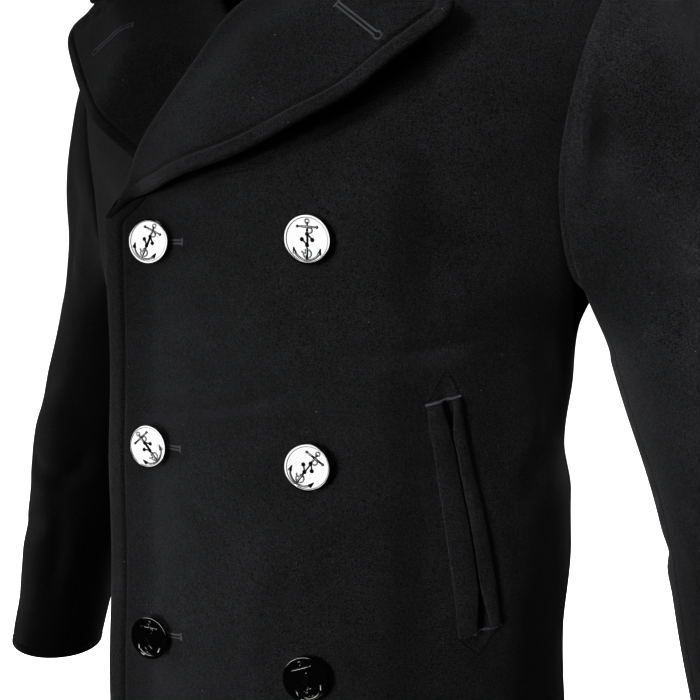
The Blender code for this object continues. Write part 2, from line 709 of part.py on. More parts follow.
def sleeve_pieces():
    """Top sleeve and under sleeve of both arms."""
    gap = HALF_SEAM / SLEEVE_RINGS[-1][3]
    top_turns = np.linspace(SLEEVE_FRONT_SEAM + gap, SLEEVE_BACK_SEAM - gap, TOP_SLEEVE_STEPS + 1)
    under_ends = (SLEEVE_BACK_SEAM + gap, SLEEVE_FRONT_SEAM + 2.0 * math.pi - gap)
    under_turns = np.concatenate([under_ends[:1], np.radians(UNDER_SLEEVE_TURNS), under_ends[1:]])
    for piece, turns in (("sleeve_top", top_turns), ("sleeve_under", under_turns)):
        outside = sleeve_points(turns)
        round_way = sleeve_points(turns + 0.01) - sleeve_points(turns - 0.01)
        inside = outside + unit(np.cross(round_way, np.gradient(outside, axis=0))) * CLOTH
        sided_wall(piece + "_left", outside, inside, True)
        sided_wall(piece + "_right", outside, inside, False)


def pocket_strip(name, near, far, lift_rule, is_left):
    """A strip of cloth along the pocket mouth, between two distances from it towards the middle."""
    top = np.array(POCKET_TOP)
    bottom = np.array(POCKET_BOTTOM)
    down = unit(bottom - top)
    towards_middle = np.array([down[1], -down[0]])
    distances = np.array([near, (near + far) / 2.0, far])[:, None]
    outside = []
    inside = []
    for share in np.linspace(0.0, 1.0, POCKET_ROWS + 1):
        row = top + (bottom - top) * share + towards_middle * distances
        angle = angle_at(row[:, 0], row[:, 1])
        lift = lift_rule(angle, row[:, 1]) + POCKET_LIFT
        outside.append(lifted(angle, row[:, 1], lift + WELT_CLOTH))
        inside.append(lifted(angle, row[:, 1], lift))
    return sided_wall(name, outside, inside, is_left)


def button_mesh(name):
    """A dished four-hole button round its own Z axis, with its back at height 0."""
    profile = [(wide * BUTTON_RADIUS, high * BUTTON_THICK) for wide, high in BUTTON_PROFILE]
    work = bmesh.new()
    for start, end in zip(profile[:-1], profile[1:]):
        for step in range(BUTTON_SIDES):
            corners = []
            for radius, height, turn in (
                (start[0], start[1], step),
                (start[0], start[1], step + 1),
                (end[0], end[1], step + 1),
                (end[0], end[1], step),
            ):
                bearing = 2.0 * math.pi * turn / BUTTON_SIDES
                corner = (radius * math.cos(bearing), radius * math.sin(bearing), height)
                if corner not in corners:
                    corners.append(corner)
            work.faces.new([work.verts.new(point) for point in corners])
    bmesh.ops.remove_doubles(work, verts=work.verts[:], dist=1e-6)
    bmesh.ops.recalc_face_normals(work, faces=work.faces[:])
    mesh = bpy.data.meshes.new(name)
    work.to_mesh(mesh)
    work.free()
    return mesh


def hole_cutter(name):
    """Four posts that cut the holes of a button."""
    work = bmesh.new()
    for across in (-1, 1):
        for up in (-1, 1):
            post = bmesh.ops.create_cone(
                work, cap_ends=True, segments=6, radius1=BUTTON_HOLE_RADIUS,
                radius2=BUTTON_HOLE_RADIUS, depth=BUTTON_THICK * 3.0,
            )
            shift = (across * BUTTON_HOLE_OFFSET, up * BUTTON_HOLE_OFFSET, 0.0)
            bmesh.ops.translate(work, verts=post["verts"], vec=shift)
    mesh = bpy.data.meshes.new(name)
    work.to_mesh(mesh)
    work.free()
    cutter = bpy.data.objects.new(name, mesh)
    bpy.context.scene.collection.objects.link(cutter)
    cutter.hide_render = True
    cutter.display_type = "WIRE"
    return cutter


def button_seat(x, z, tip):
    """Where a button lies on the left front: its right, up and outward directions and its place."""
    reach = np.linspace(-BUTTON_RADIUS, BUTTON_RADIUS, 5)
    xs, zs = np.meshgrid(x + reach, z + reach)
    angles = angle_at(xs, zs)
    cloth = lifted(angles, zs, left_front_lift(angles, zs))
    right = unit(cloth[:, -1].mean(axis=0) - cloth[:, 0].mean(axis=0))
    out = unit(np.cross(right, cloth[-1].mean(axis=0) - cloth[0].mean(axis=0)))
    up = np.cross(out, right)
    tipped = out * math.cos(tip) + right * math.sin(tip)
    right = np.cross(up, tipped)
    middle = cloth[2, 2]
    under_button = (xs - x) ** 2 + (zs - z) ** 2 <= BUTTON_RADIUS ** 2 * 1.05
    rise = ((cloth - middle) @ tipped)[under_button].max()
    return right, up, tipped, middle + tipped * (rise + BUTTON_GAP)


def buttons():
    """Three rows of two buttons, flat on the left front."""
    colour, roughness = BUTTON_LOOK
    for row, z in zip(("top", "middle", "bottom"), BUTTON_ROWS_Z):
        for side, x, tip in (("left", BUTTON_X, 0.0), ("right", BUTTONED_X, BUTTON_TIP)):
            name = "button_" + row + "_" + side
            right, up, out, place = button_seat(x, z, tip)
            frame = np.eye(4)
            frame[:3] = np.column_stack([right, up, out, place])
            mesh = button_mesh(name)
            mesh.shade_smooth()
            mesh.set_sharp_from_angle(angle=SHARP_ANGLE)
            made = bpy.data.objects.new(name, mesh)
            bpy.context.scene.collection.objects.link(made)
            cutter = hole_cutter(name + "_holes")
            made.matrix_world = mathutils.Matrix(frame.tolist())
            cutter.matrix_world = mathutils.Matrix(frame.tolist())
            cut = made.modifiers.new("Holes", "BOOLEAN")
            cut.operation = "DIFFERENCE"
            cut.solver = "EXACT"
            cut.object = cutter
            mesh.materials.append(principled(name, colour, roughness))


def build_coat():
    """All pieces of the coat."""
    for item in list(bpy.data.objects):
        bpy.data.objects.remove(item, do_unlink=True)
    front_panel("front_left", left_front_lift, True)
    front_panel("front_right", no_lift, False)
    back_panel("back_left", True)
    back_panel("back_right", False)
    sleeve_pieces()
    line = fold_line()
    lapel("lapel_left", line, LEFT_FOLD)
    lapel("lapel_right", line, RIGHT_FOLD)
    collar_stand("collar_stand")
    collar_leaf("collar_leaf", line)
    for side in ("left", "right"):
        is_left = side == "left"
        rule = left_front_lift if is_left else no_lift
        pocket_strip("pocket_welt_" + side, HALF_SEAM, WELT_WIDTH, rule, is_left)
        pocket_strip("pocket_lip_" + side, -HALF_SEAM, -LIP_WIDTH, rule, is_left)
    buttons()


build_coat()
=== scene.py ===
# Double-breasted pea coat in heavy felted wool: the looks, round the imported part.
# Metres, +Z up. The coat faces -Y and the wearer's left is +X. Every cloth piece follows one body
# surface: a place on it is an angle (0 left side, 90 degrees front, 180 right side, 270 back) and a
# height, and a lift is a distance out from it.
import math

import bpy
import numpy as np
from mathutils import Matrix, Vector, kdtree


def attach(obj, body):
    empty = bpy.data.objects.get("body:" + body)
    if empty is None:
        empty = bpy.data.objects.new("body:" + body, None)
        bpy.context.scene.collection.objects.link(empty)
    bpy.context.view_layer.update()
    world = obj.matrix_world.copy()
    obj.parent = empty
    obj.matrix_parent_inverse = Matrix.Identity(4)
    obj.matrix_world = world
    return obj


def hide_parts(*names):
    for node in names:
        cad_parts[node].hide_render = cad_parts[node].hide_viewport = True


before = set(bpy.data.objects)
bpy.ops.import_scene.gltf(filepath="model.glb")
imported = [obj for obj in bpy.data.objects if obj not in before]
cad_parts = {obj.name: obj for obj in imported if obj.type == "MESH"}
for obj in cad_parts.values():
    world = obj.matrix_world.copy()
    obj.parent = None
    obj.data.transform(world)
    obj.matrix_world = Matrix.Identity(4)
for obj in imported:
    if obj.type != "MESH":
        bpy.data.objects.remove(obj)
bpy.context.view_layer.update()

print("frame loaded:", len(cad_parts), "nodes")

body = {
    "cloth": 0.003,
    "doubleCloth": 0.0046,
    "seam": 0.0003,
    "armpitZ": -0.272,
    "shoulderTipZ": -0.052,
    "breakZ": -0.232,
    "frontEdgeX": 0.099,
    "breakX": -0.099,
    "rollRun": 0.2581,
    "rollBow": 0.0851,
    "lapEndX": 0.132,
    "lapLift": 0.0053,
    "lapelLift": 0.0082,
    "underEdgeZ": -0.207,
    "underEdgeSlope": -0.32,
    "lapelFade": 0.045,
    "lapelSettle": (0.006, 0.062),
    "edgeFlare": 0.0165,
    "flareX": (0.060, 0.108),
    "flareZ": (-0.135, -0.225),
    "lapTopZ": (-0.118, -0.045),
    "facedRun": (0.020, 0.080),
    "hemZ": -0.745,
    "probe": (0.004, 0.0006),   # steps in angle and height over which a slope is measured
    "topZ": -0.0004,
    # z, half width, depth to the front, depth to the back, front pull, back pull
    "rings": (
        (-0.745, 0.198, 0.147, 0.140, 0.00, -0.04),
        (-0.620, 0.189, 0.147, 0.136, 0.00, -0.04),
        (-0.520, 0.185, 0.147, 0.130, 0.00, -0.04),
        (-0.440, 0.183, 0.148, 0.123, 0.00, -0.04),
        (-0.390, 0.185, 0.149, 0.120, 0.00, -0.04),
        (-0.330, 0.195, 0.148, 0.122, 0.00, -0.04),
        (-0.270, 0.206, 0.147, 0.128, -0.01, -0.04),
        (-0.200, 0.215, 0.146, 0.132, -0.04, -0.04),
        (-0.140, 0.224, 0.139, 0.132, -0.08, -0.03),
        (-0.090, 0.229, 0.126, 0.125, -0.08, -0.01),
        (-0.052, 0.226, 0.110, 0.113, 0.00, 0.02),
        (-0.036, 0.186, 0.099, 0.106, 0.00, 0.02),
        (-0.020, 0.146, 0.086, 0.099, 0.00, 0.01),
        (-0.008, 0.118, 0.075, 0.093, 0.00, 0.00),
        (0.000, 0.101, 0.068, 0.089, 0.00, 0.00),
        (0.010, 0.090, 0.064, 0.083, 0.00, 0.00),
        (0.020, 0.083, 0.061, 0.078, 0.00, 0.00),
        (0.030, 0.079, 0.059, 0.074, 0.00, 0.00),
        (0.045, 0.075, 0.057, 0.070, 0.00, 0.00),
    ),
}

armhole = {
    "front": math.radians(30.0),
    "back": math.radians(-38.0),
    "squareTop": 0.85,
    "squareLow": 0.50,
    "middle": (0.35, 0.65),
    "sideSeam": math.radians(-2.0),
}


def smoothStep(low, high, value):
    t = np.clip((np.asarray(value, dtype=float) - low) / (high - low), 0.0, 1.0)
    return t * t * (3.0 - 2.0 * t)


# Cubic curve from start to end, with the slopes it leaves and arrives with
def hermite(t, start, leave, end, arrive):
    return (
        (1.0 + 2.0 * t) * (1.0 - t) ** 2 * start
        + t * (1.0 - t) ** 2 * leave
        + t * t * (3.0 - 2.0 * t) * end
        + t * t * (t - 1.0) * arrive
    )


# Rows of a table joined by smooth curves that never overshoot
def smoothTable(rows):
    data = np.array(rows, dtype=float)
    at, values = data[:, 0], data[:, 1:]
    slope = np.diff(values, axis=0) / np.diff(at)[:, None]
    product = slope[:-1] * slope[1:]
    total = slope[:-1] + slope[1:]
    total = np.where(np.abs(total) < 1e-12, 1.0, total)
    slopes = np.vstack([slope[:1], np.where(product > 0.0, 2.0 * product / total, 0.0), slope[-1:]])

    def read(where):
        where = np.clip(np.asarray(where, dtype=float), at[0], at[-1])
        row = np.clip(np.searchsorted(at, where, side="right") - 1, 0, len(at) - 2)
        width = (at[row + 1] - at[row])[..., None]
        t = (where - at[row])[..., None] / width
        return hermite(t, values[row], width * slopes[row], values[row + 1], width * slopes[row + 1])

    return read


bodyTable = smoothTable(body["rings"])


def bodySurface(angle, z):
    angle, z = np.broadcast_arrays(np.asarray(angle, dtype=float), np.asarray(z, dtype=float))
    ring = bodyTable(z)
    cosine, sine = np.cos(angle), np.sin(angle)
    inFront = sine >= 0.0
    depth = np.where(inFront, ring[..., 1], ring[..., 2])
    pull = np.where(inFront, ring[..., 3], ring[..., 4])
    x = ring[..., 0] * cosine * (1.0 - pull * sine ** 2)
    y = -depth * sine * (1.0 - pull * cosine ** 2)
    return np.stack([x, y, z], axis=-1)


def unit(vectors):
    return vectors / np.maximum(np.linalg.norm(vectors, axis=-1, keepdims=True), 1e-12)


# Outward normal of a surface that is given as a function of angle and height
def surfaceNormal(place, angle, z, turn, rise):
    along = place(angle + turn, z) - place(angle - turn, z)
    upward = place(angle, z + rise) - place(angle, z - rise)
    return unit(np.cross(upward, along))


def bodyNormal(angle, z):
    angle, z = np.asarray(angle, dtype=float), np.asarray(z, dtype=float)
    return surfaceNormal(bodySurface, angle, z, *body["probe"])


def lifted(angle, z, lift):
    return bodySurface(angle, z) + bodyNormal(angle, z) * np.asarray(lift, dtype=float)[..., None]


# Angle of the front point of the body that has this x at this height
def angleAt(x, z):
    x, z = np.broadcast_arrays(np.asarray(x, dtype=float), np.asarray(z, dtype=float))
    ring = bodyTable(z)
    low, high = np.zeros(x.shape), np.full(x.shape, math.pi)
    for _ in range(34):
        middle = (low + high) / 2.0
        reached = ring[..., 0] * np.cos(middle) * (1.0 - ring[..., 3] * np.sin(middle) ** 2)
        beyond = reached > x
        low, high = np.where(beyond, middle, low), np.where(beyond, high, middle)
    return (low + high) / 2.0


def leftRollX(z):
    climb = 1.0 - np.asarray(z, dtype=float) / body["breakZ"]
    return body["breakX"] + body["rollRun"] * climb - body["rollBow"] * climb ** 2


def leftLeadX(z):
    return np.where(np.asarray(z) < body["breakZ"], -body["frontEdgeX"], leftRollX(z))


# How far the outside of a front stands off the body. The right front lies on the body
def frontLift(angle, z, isLeft=True):
    if not isLeft:
        return np.zeros(np.broadcast(angle, z).shape)
    x = bodySurface(angle, z)[..., 0]
    overFront = 1.0 - smoothStep(body["frontEdgeX"], body["lapEndX"], x)
    pastFold = x + leftRollX(np.maximum(z, body["breakZ"]))
    overEdge = z - body["underEdgeZ"] - body["underEdgeSlope"] * x
    overLapel = smoothStep(-body["lapelFade"], 0.0, overEdge)
    overLapel = overLapel * (1.0 - smoothStep(*body["lapelSettle"], pastFold))
    below = 1.0 - smoothStep(*body["lapTopZ"], z)
    flare = smoothStep(*body["flareX"], -x) * smoothStep(*body["flareZ"], z)
    lap = body["lapLift"] * overFront + body["lapelLift"] * overLapel
    return lap * below + body["edgeFlare"] * flare


def armholeSwing(across, share):
    lower = smoothStep(*armhole["middle"], share)
    return np.abs(across) ** (armhole["squareTop"] * (1.0 - lower) + armhole["squareLow"] * lower)


# Angle where a body panel ends at each height: side seam, armhole or shoulder seam
def sideLimit(z, deepest):
    span = body["shoulderTipZ"] - body["armpitZ"]
    share = np.clip((body["shoulderTipZ"] - z) / span, 0.0, 1.0)
    swing = armholeSwing(np.sin(np.arccos(1.0 - 2.0 * share)), share)
    seam = np.where(z < body["shoulderTipZ"], armhole["sideSeam"] * share, 0.0)
    onArm = (z > body["armpitZ"]) & (z < body["shoulderTipZ"])
    return seam + np.where(onArm, deepest * swing, 0.0)


crease = {
    "fadeIn": (-0.20, 0.30),
    "fadeOut": (0.70, 1.20),
    "ridge": (0.45, 0.8, 1.8),  # height, sharpness and place of the ridge, in depths and widths
}


# Soft troughs (minus) and ridges (plus), listed one by one. The ridge beside a trough makes it a
# fold.
# across 0, along 0, across 1, along 1, bow, half width, depth: all in metres on the flat cloth
def creases(across, along, rows):
    total = np.zeros(np.broadcast(across, along).shape)
    height, sharp, beside = crease["ridge"]
    for across0, along0, across1, along1, bow, width, depth in rows:
        runAcross, runAlong = across1 - across0, along1 - along0
        length = math.hypot(runAcross, runAlong)
        t = ((across - across0) * runAcross + (along - along0) * runAlong) / length ** 2
        side = ((along - along0) * runAcross - (across - across0) * runAlong) / length
        q = (side - bow * 4.0 * t * (1.0 - t)) / width
        taper = smoothStep(*crease["fadeIn"], t) * (1.0 - smoothStep(*crease["fadeOut"], t))
        total += depth * taper * (np.exp(-q * q) - height * np.exp(-sharp * (q - beside) ** 2))
    return total


# The same rows with their places across given in degrees
def turnedRows(rows, girth):
    return [(math.radians(start) * girth, along0, math.radians(end) * girth, *rest)
            for start, along0, end, *rest in rows]


bodyFolds = {
    "girth": 0.165,             # metres of cloth for each radian round the body
    # angle 0, z 0, angle 1, z 1, bow, half width, depth. Angles in degrees
    "rows": (
        (107, -0.357, 79, -0.345, 0.004, 0.0042, -0.0044),
        (76, -0.363, 44, -0.366, -0.005, 0.0044, -0.0044),
        (72, -0.319, 40, -0.307, 0.002, 0.0055, -0.0028),
        (130, -0.170, 132, -0.370, 0.002, 0.0280, -0.0065),
        (112, -0.300, 92, -0.322, -0.003, 0.0090, -0.0016),
        (60, -0.243, 38, -0.262, 0.004, 0.0120, -0.0022),
        (99, -0.420, 84, -0.436, 0.002, 0.0080, -0.0009),
        (70, -0.560, 52, -0.600, 0.008, 0.0160, -0.0015),
        (20, -0.300, 8, -0.372, 0.006, 0.0130, -0.0026),
        (12, -0.360, 26, -0.412, -0.004, 0.0110, -0.0017),
        (14, -0.450, 9, -0.640, 0.006, 0.0180, -0.0022),
        (164, -0.300, 172, -0.380, -0.006, 0.0130, -0.0024),
        (166, -0.380, 150, -0.420, 0.004, 0.0110, -0.0016),
        (168, -0.470, 172, -0.660, -0.005, 0.0180, -0.0021),
        (128, -0.340, 150, -0.318, 0.003, 0.0080, -0.0013),
        (-16, -0.300, -34, -0.372, 0.008, 0.0150, -0.0024),
        (-20, -0.380, -52, -0.402, 0.006, 0.0120, -0.0019),
        (-48, -0.350, -82, -0.364, -0.004, 0.0130, -0.0015),
        (-98, -0.372, -140, -0.352, 0.005, 0.0120, -0.0017),
        (-128, -0.402, -160, -0.388, -0.006, 0.0130, -0.0018),
        (-164, -0.300, -150, -0.360, 0.008, 0.0150, -0.0022),
        (-40, -0.120, -52, -0.220, 0.006, 0.0150, -0.0018),
        (-141, -0.126, -129, -0.214, -0.006, 0.0150, -0.0017),
        (-66, -0.470, -58, -0.690, 0.008, 0.0220, -0.0024),
        (-118, -0.480, -124, -0.700, -0.006, 0.0220, -0.0022),
    ),
    # z and depth: the side hangs in under the arm and out again below it
    "side": (
        (-0.745, 0.004), (-0.660, 0.009), (-0.530, 0.0065), (-0.460, 0.0115), (-0.420, 0.0110),
        (-0.385, 0.0030), (-0.345, -0.0025), (-0.300, -0.0085), (-0.272, -0.0030), (-0.240, 0.0),
        (-0.100, 0.0),
    ),
    "sideSpan": (22.0, 52.0),
    "pastSide": 2.0,            # radians from one side seam where the other is nearer
    # waves for each metre round and up, phase and depth
    "waves": ((31.0, 18.0, 0.4, 0.0007), (-17.0, 42.0, 2.1, 0.0006), (52.0, 28.0, 4.4, 0.0003)),
    "flatTop": (-0.150, -0.060),
    "flatButton": (0.014, 0.024),
    "lapelEdge": (-0.245, -0.20, 0.75, 0.02),   # z in the middle, slope, more slope past an x, that x
    "lapelFade": (-0.030, 0.010),
    "lapelHalf": 0.165,
}


def bodyRelief(angle, z):
    girth = bodyFolds["girth"]
    turned = np.where(angle < -0.1 - math.pi, angle + 2.0 * math.pi, angle)
    relief = creases(turned * girth, z, turnedRows(bodyFolds["rows"], girth))
    around = np.abs(turned)
    fromSide = np.abs(np.where(around > bodyFolds["pastSide"], math.pi - around, around))
    beside = 1.0 - smoothStep(*np.radians(bodyFolds["sideSpan"]), fromSide)
    drape = smoothTable(bodyFolds["side"])(z)[..., 0]
    relief = relief + np.where(around < math.pi / 2.0, drape, np.minimum(drape, 0.0)) * beside
    for across, along, phase, depth in bodyFolds["waves"]:
        relief = relief + depth * np.sin(across * np.sin(angle) * girth + along * z + phase)
    # the cloth lies flat at the shoulders, and where buttons and lapels lie on it
    relief = relief * (1.0 - smoothStep(*bodyFolds["flatTop"], z))
    x = bodySurface(angle, z)[..., 0]
    inFront = np.sin(angle) > 0.0
    for place in buttonPlaces():
        apart = np.hypot(x - place["x"], z - place["z"])
        relief = np.where(inFront, relief * smoothStep(*bodyFolds["flatButton"], apart), relief)
    middleZ, slope, moreSlope, fromX = bodyFolds["lapelEdge"]
    lapelEdge = middleZ + slope * np.abs(x) + moreSlope * np.maximum(np.abs(x) - fromX, 0.0)
    underLapel = inFront & (np.abs(x) < bodyFolds["lapelHalf"])
    fade = 1.0 - smoothStep(*bodyFolds["lapelFade"], z - lapelEdge)
    return np.where(underLapel, relief * fade, relief)


# The folds of the body as a front shows them, for an angle that is turned to the left front
def frontRelief(angle, z, isLeft):
    return bodyRelief(angle if isLeft else math.pi - angle, z)


buttonCut = {
    # row, z, and how far the bar of its buttonhole lies above the middle of the button
    "rows": (("top", -0.246, -0.0006), ("middle", -0.3845, 0.0008), ("bottom", -0.520, 0.0056)),
    "leftX": 0.0606,
    "rightX": -0.0590,
    "tip": math.radians(15.0),
    "gap": 0.0004,
    "radius": 0.015,
    "thick": 0.0042,
}


def buttonPlaces():
    columns = (("left", buttonCut["leftX"], 0.0), ("right", buttonCut["rightX"], buttonCut["tip"]))
    return [{"name": f"button_{row}_{side}", "x": x, "z": z, "tip": tip, "holeDrop": drop}
            for row, z, drop in buttonCut["rows"] for side, x, tip in columns]

# ---- nodes for materials


def linear(hexCode):
    values = [int(hexCode[k:k + 2], 16) / 255.0 for k in (1, 3, 5)]
    return tuple(v / 12.92 if v <= 0.04045 else ((v + 0.055) / 1.055) ** 2.4 for v in values) + (1.0,)


def setInputs(tree, node, inputs):
    for key, value in inputs.items():
        if isinstance(value, bpy.types.NodeSocket):
            tree.links.new(value, node.inputs[key])
        else:
            node.inputs[key].default_value = value
    return node


def addNode(tree, kind, inputs, **settings):
    node = tree.nodes.new("ShaderNode" + kind)
    for key, value in settings.items():
        setattr(node, key, value)
    return setInputs(tree, node, inputs)


def newMaterial(name):
    material = bpy.data.materials.new(name)
    material.use_nodes = True
    tree = material.node_tree
    return material, tree, tree.nodes["Principled BSDF"]


# A material without texture
def plainMaterial(name, inputs):
    material, tree, shader = newMaterial(name)
    setInputs(tree, shader, inputs)
    return material


def objectPlace(tree):
    return addNode(tree, "TexCoord", {}).outputs["Object"]


def noises(tree, settings, keys):
    where = objectPlace(tree)
    return [addNode(tree, "TexNoise", {"Vector": where, **settings[key]}).outputs["Fac"]
            for key in keys]


def mapped(tree, value, low, high, lowTo, highTo):
    inputs = {"Value": value, "From Min": low, "From Max": high, "To Min": lowTo, "To Max": highTo}
    return addNode(tree, "MapRange", inputs).outputs["Result"]


def multiplied(tree, first, second):
    return addNode(tree, "Math", {0: first, 1: second}, operation="MULTIPLY").outputs[0]


def shaded(tree, hexCode, strength):
    inputs = {0: linear(hexCode)[:3], "Scale": strength}
    return addNode(tree, "VectorMath", inputs, operation="SCALE").outputs["Vector"]


def bumpy(tree, height, strength, distance):
    inputs = {"Height": height, "Strength": strength, "Distance": distance}
    return addNode(tree, "Bump", inputs).outputs["Normal"]


# Melton: heavy wool woven, then felted until the weave is gone. To the eye it is a dull, almost black
# surface with a fine fuzzy grain, cloudy patches, a soft bloom at grazing angles and pale lint.
melton = {
    "colour": "#161617",
    # tufts of felted fibre are about 0.9 mm, which is also the finest grain that shows
    "tufts": {"Scale": 1150.0, "Detail": 2.0, "Roughness": 0.65, "Distortion": 0.6},
    "fibres": {"Scale": 430.0, "Detail": 3.0, "Roughness": 0.7, "Distortion": 1.4},
    "clouds": {"Scale": 34.0, "Detail": 3.0, "Roughness": 0.6},
    # range of each noise, and the brightness at its two ends
    "tuftTone": (0.36, 0.66, 0.18, 1.92),
    "cloudTone": (0.3, 0.7, 0.84, 1.16),
    "fibreTone": (0.3, 0.7, 0.62, 1.42),
    # lint: one speck of about 0.5 mm in some of the cells
    "lint": "#a8a59c",
    "lintCells": 105.0,
    "lintReach": (0.020, 0.055, 1.0, 0.0),
    "lintPicked": (0.58, 0.78, 0.0, 0.30),
    "fibreHeight": 1.2,
    "bump": (0.85, 0.0006),
    "surface": {
        "Roughness": 0.96, "Specular IOR Level": 0.12,
        "Sheen Weight": 0.05, "Sheen Roughness": 0.42, "Sheen Tint": linear("#d8d8dc"),
    },
}


def makeMelton(name):
    material, tree, shader = newMaterial(name)
    tufts, fibres, clouds = noises(tree, melton, ("tufts", "fibres", "clouds"))
    tones = [mapped(tree, tufts, *melton["tuftTone"]), mapped(tree, clouds, *melton["cloudTone"]),
             mapped(tree, fibres, *melton["fibreTone"])]
    strength = multiplied(tree, multiplied(tree, tones[0], tones[1]), tones[2])
    cells = addNode(tree, "TexVoronoi", {"Vector": objectPlace(tree), "Scale": melton["lintCells"]})
    speck = multiplied(tree, mapped(tree, cells.outputs["Distance"], *melton["lintReach"]),
                       mapped(tree, cells.outputs["Color"], *melton["lintPicked"]))
    colour = addNode(tree, "Mix", {"Factor": speck, 6: shaded(tree, melton["colour"], strength),
                                   7: linear(melton["lint"])}, data_type="RGBA")
    height = addNode(tree, "Math", {0: fibres, 1: melton["fibreHeight"], 2: tufts},
                     operation="MULTIPLY_ADD")
    normal = bumpy(tree, height.outputs[0], *melton["bump"])
    setInputs(tree, shader, {"Base Color": colour.outputs[2], "Normal": normal, **melton["surface"]})
    return material


# Spun polyester sewing thread: two plies twisted, with a slight shine along each ply
spunThread = {
    "plies": {"Scale": 1100.0, "Distortion": 1.5, "Detail": 1.0},
    "tone": (0.0, 1.0, 0.70, 1.20),
    "bump": (0.4, 0.0001),
    "shine": 0.15,
}


def makeThread(name, hexCode, roughness):
    material, tree, shader = newMaterial(name)
    plies = addNode(tree, "TexWave", {"Vector": objectPlace(tree), **spunThread["plies"]},
                    wave_type="BANDS", bands_direction="DIAGONAL").outputs["Fac"]
    colour = shaded(tree, hexCode, mapped(tree, plies, *spunThread["tone"]))
    setInputs(tree, shader, {"Base Color": colour, "Normal": bumpy(tree, plies, *spunThread["bump"]),
                             "Roughness": roughness, "Specular IOR Level": spunThread["shine"]})
    return material


# Cast polyester resin, polished: a deep black that shows the lamps as clean shapes, hardly wavy
resin = {
    "colour": "#050506",
    "waves": {"Scale": 190.0, "Detail": 1.0},
    "wear": {"Scale": 900.0, "Detail": 3.0},
    "roughness": (0.0, 1.0, 0.05, 0.11),
    "bump": (0.10, 0.0003),
    "ior": 1.68,
}


def makePolishedPlastic(name):
    material, tree, shader = newMaterial(name)
    waves, wear = noises(tree, resin, ("waves", "wear"))
    setInputs(tree, shader, {
        "Base Color": linear(resin["colour"]), "Roughness": mapped(tree, wear, *resin["roughness"]),
        "Normal": bumpy(tree, waves, *resin["bump"]), "IOR": resin["ior"],
    })
    return material


meltonWool = makeMelton("felted melton wool")
topThread = makeThread("black polyester thread", "#060607", 0.80)
holeThread = makeThread("grey buttonhole twist", "#424246", 0.75)
# painted shade for the buttonhole openings: a near-black matte material laid where the slit and the
# eyelet lie in shadow
paintedSlitShade = plainMaterial("cut edge in shade", {"Base Color": linear("#020202"), "Roughness": 1.0})
buttonPlastic = makePolishedPlastic("polished black polyester resin")
print("materials made")

# ---- cloth


clothMesh = {
    "step": 0.0034,             # spacing of the grid
    "fine": 0.0008,             # and near a stitched edge
    "fineRun": 0.0135,
    "edgeRows": (0.0, 0.05, 0.20, 0.45, 0.75, 1.0),     # shares of the rounded edge
    "mostEdge": 0.7,            # share of a narrow piece that its edge rows may take
    "inset": 0.0100,            # topstitching lies this far inside the edge
    "groove": 0.00125,
    "grooveWidth": 0.0011,
    "band": 0.00055,            # the edge swells this much between the stitches and the edge
    "bandRun": (0.35, 0.72),    # where that swelling is full, in shares of the inset
}


# Distances from one end of a row to the other: close together at each end, where the edge is rounded
def rowPlaces(length, count, edge, fineStart=False, fineEnd=False, fineRun=clothMesh["fineRun"]):
    ends = []
    for fine in (fineStart, fineEnd):
        near = edge * np.array(clothMesh["edgeRows"])
        if fine:
            more = np.arange(edge + clothMesh["fine"], fineRun, clothMesh["fine"])
            near = np.concatenate([near, more])
        ends.append(near)
    length = np.asarray(length, dtype=float)[..., None]
    squeeze = np.minimum(1.0, clothMesh["mostEdge"] * length / (ends[0][-1] + ends[1][-1]))
    first, last = ends[0] * squeeze, ends[1] * squeeze
    t = np.linspace(0.0, 1.0, count)[1:-1]
    middle = first[..., -1:] + (length - first[..., -1:] - last[..., -1:]) * t
    return np.concatenate([first, middle, length - last[..., ::-1]], axis=-1)


def pathLengths(points):
    steps = np.linalg.norm(np.diff(points, axis=0), axis=1)
    return np.concatenate([[0.0], np.cumsum(steps)])


# Each column of a table read at places between its rows
def between(where, at, values):
    return np.stack([np.interp(where, at, column) for column in values.T], axis=-1)


def resampled(points, spacing):
    length = pathLengths(points)
    count = max(2, int(round(length[-1] / spacing)) + 1)
    return between(np.linspace(0.0, length[-1], count), length, points)


# Distance of each point to a line of points
def lineDistance(points, line):
    line = resampled(line, clothMesh["fine"])
    tree = kdtree.KDTree(len(line))
    for index, point in enumerate(line):
        tree.insert(point, index)
    tree.balance()
    flat = points.reshape(-1, 3)
    nearest = np.array([tree.find(point)[1] for point in flat])
    best = np.full(len(flat), 1e9)
    for shift in (-1, 0):
        first = np.clip(nearest + shift, 0, len(line) - 2)
        start, run = line[first], line[first + 1] - line[first]
        t = np.clip(((flat - start) * run).sum(1) / np.maximum((run * run).sum(1), 1e-18), 0.0, 1.0)
        best = np.minimum(best, np.linalg.norm(flat - start - run * t[:, None], axis=1))
    return best.reshape(points.shape[:-1])


# Lengths along a grid from its first column, or from its first row
def gridLengths(middle, axis):
    steps = np.linalg.norm(np.diff(middle, axis=axis), axis=2)
    return np.pad(np.cumsum(steps, axis=axis), ((0, 0), (1, 0)) if axis == 1 else ((1, 0), (0, 0)))


def edgeReach(middle, slanted):
    fromStart, fromFoot = gridLengths(middle, 1), gridLengths(middle, 0)
    reach = {"start": fromStart, "end": fromStart[:, -1:] - fromStart,
             "foot": fromFoot, "top": fromFoot[-1:] - fromFoot}
    if slanted:
        reach["end"] = lineDistance(middle, middle[:, -1])
    return reach, np.stack([fromStart, fromFoot], axis=-1)


# Normals of a grid, turned outwards. The last quarter of its columns shows which side that is
def gridNormals(middle, centre):
    normal = unit(np.cross(np.gradient(middle, axis=1), np.gradient(middle, axis=0)))
    outward = (normal * (middle - centre))[:, middle.shape[1] * 3 // 4:].sum()
    return (normal, False) if outward > 0.0 else (-normal, True)


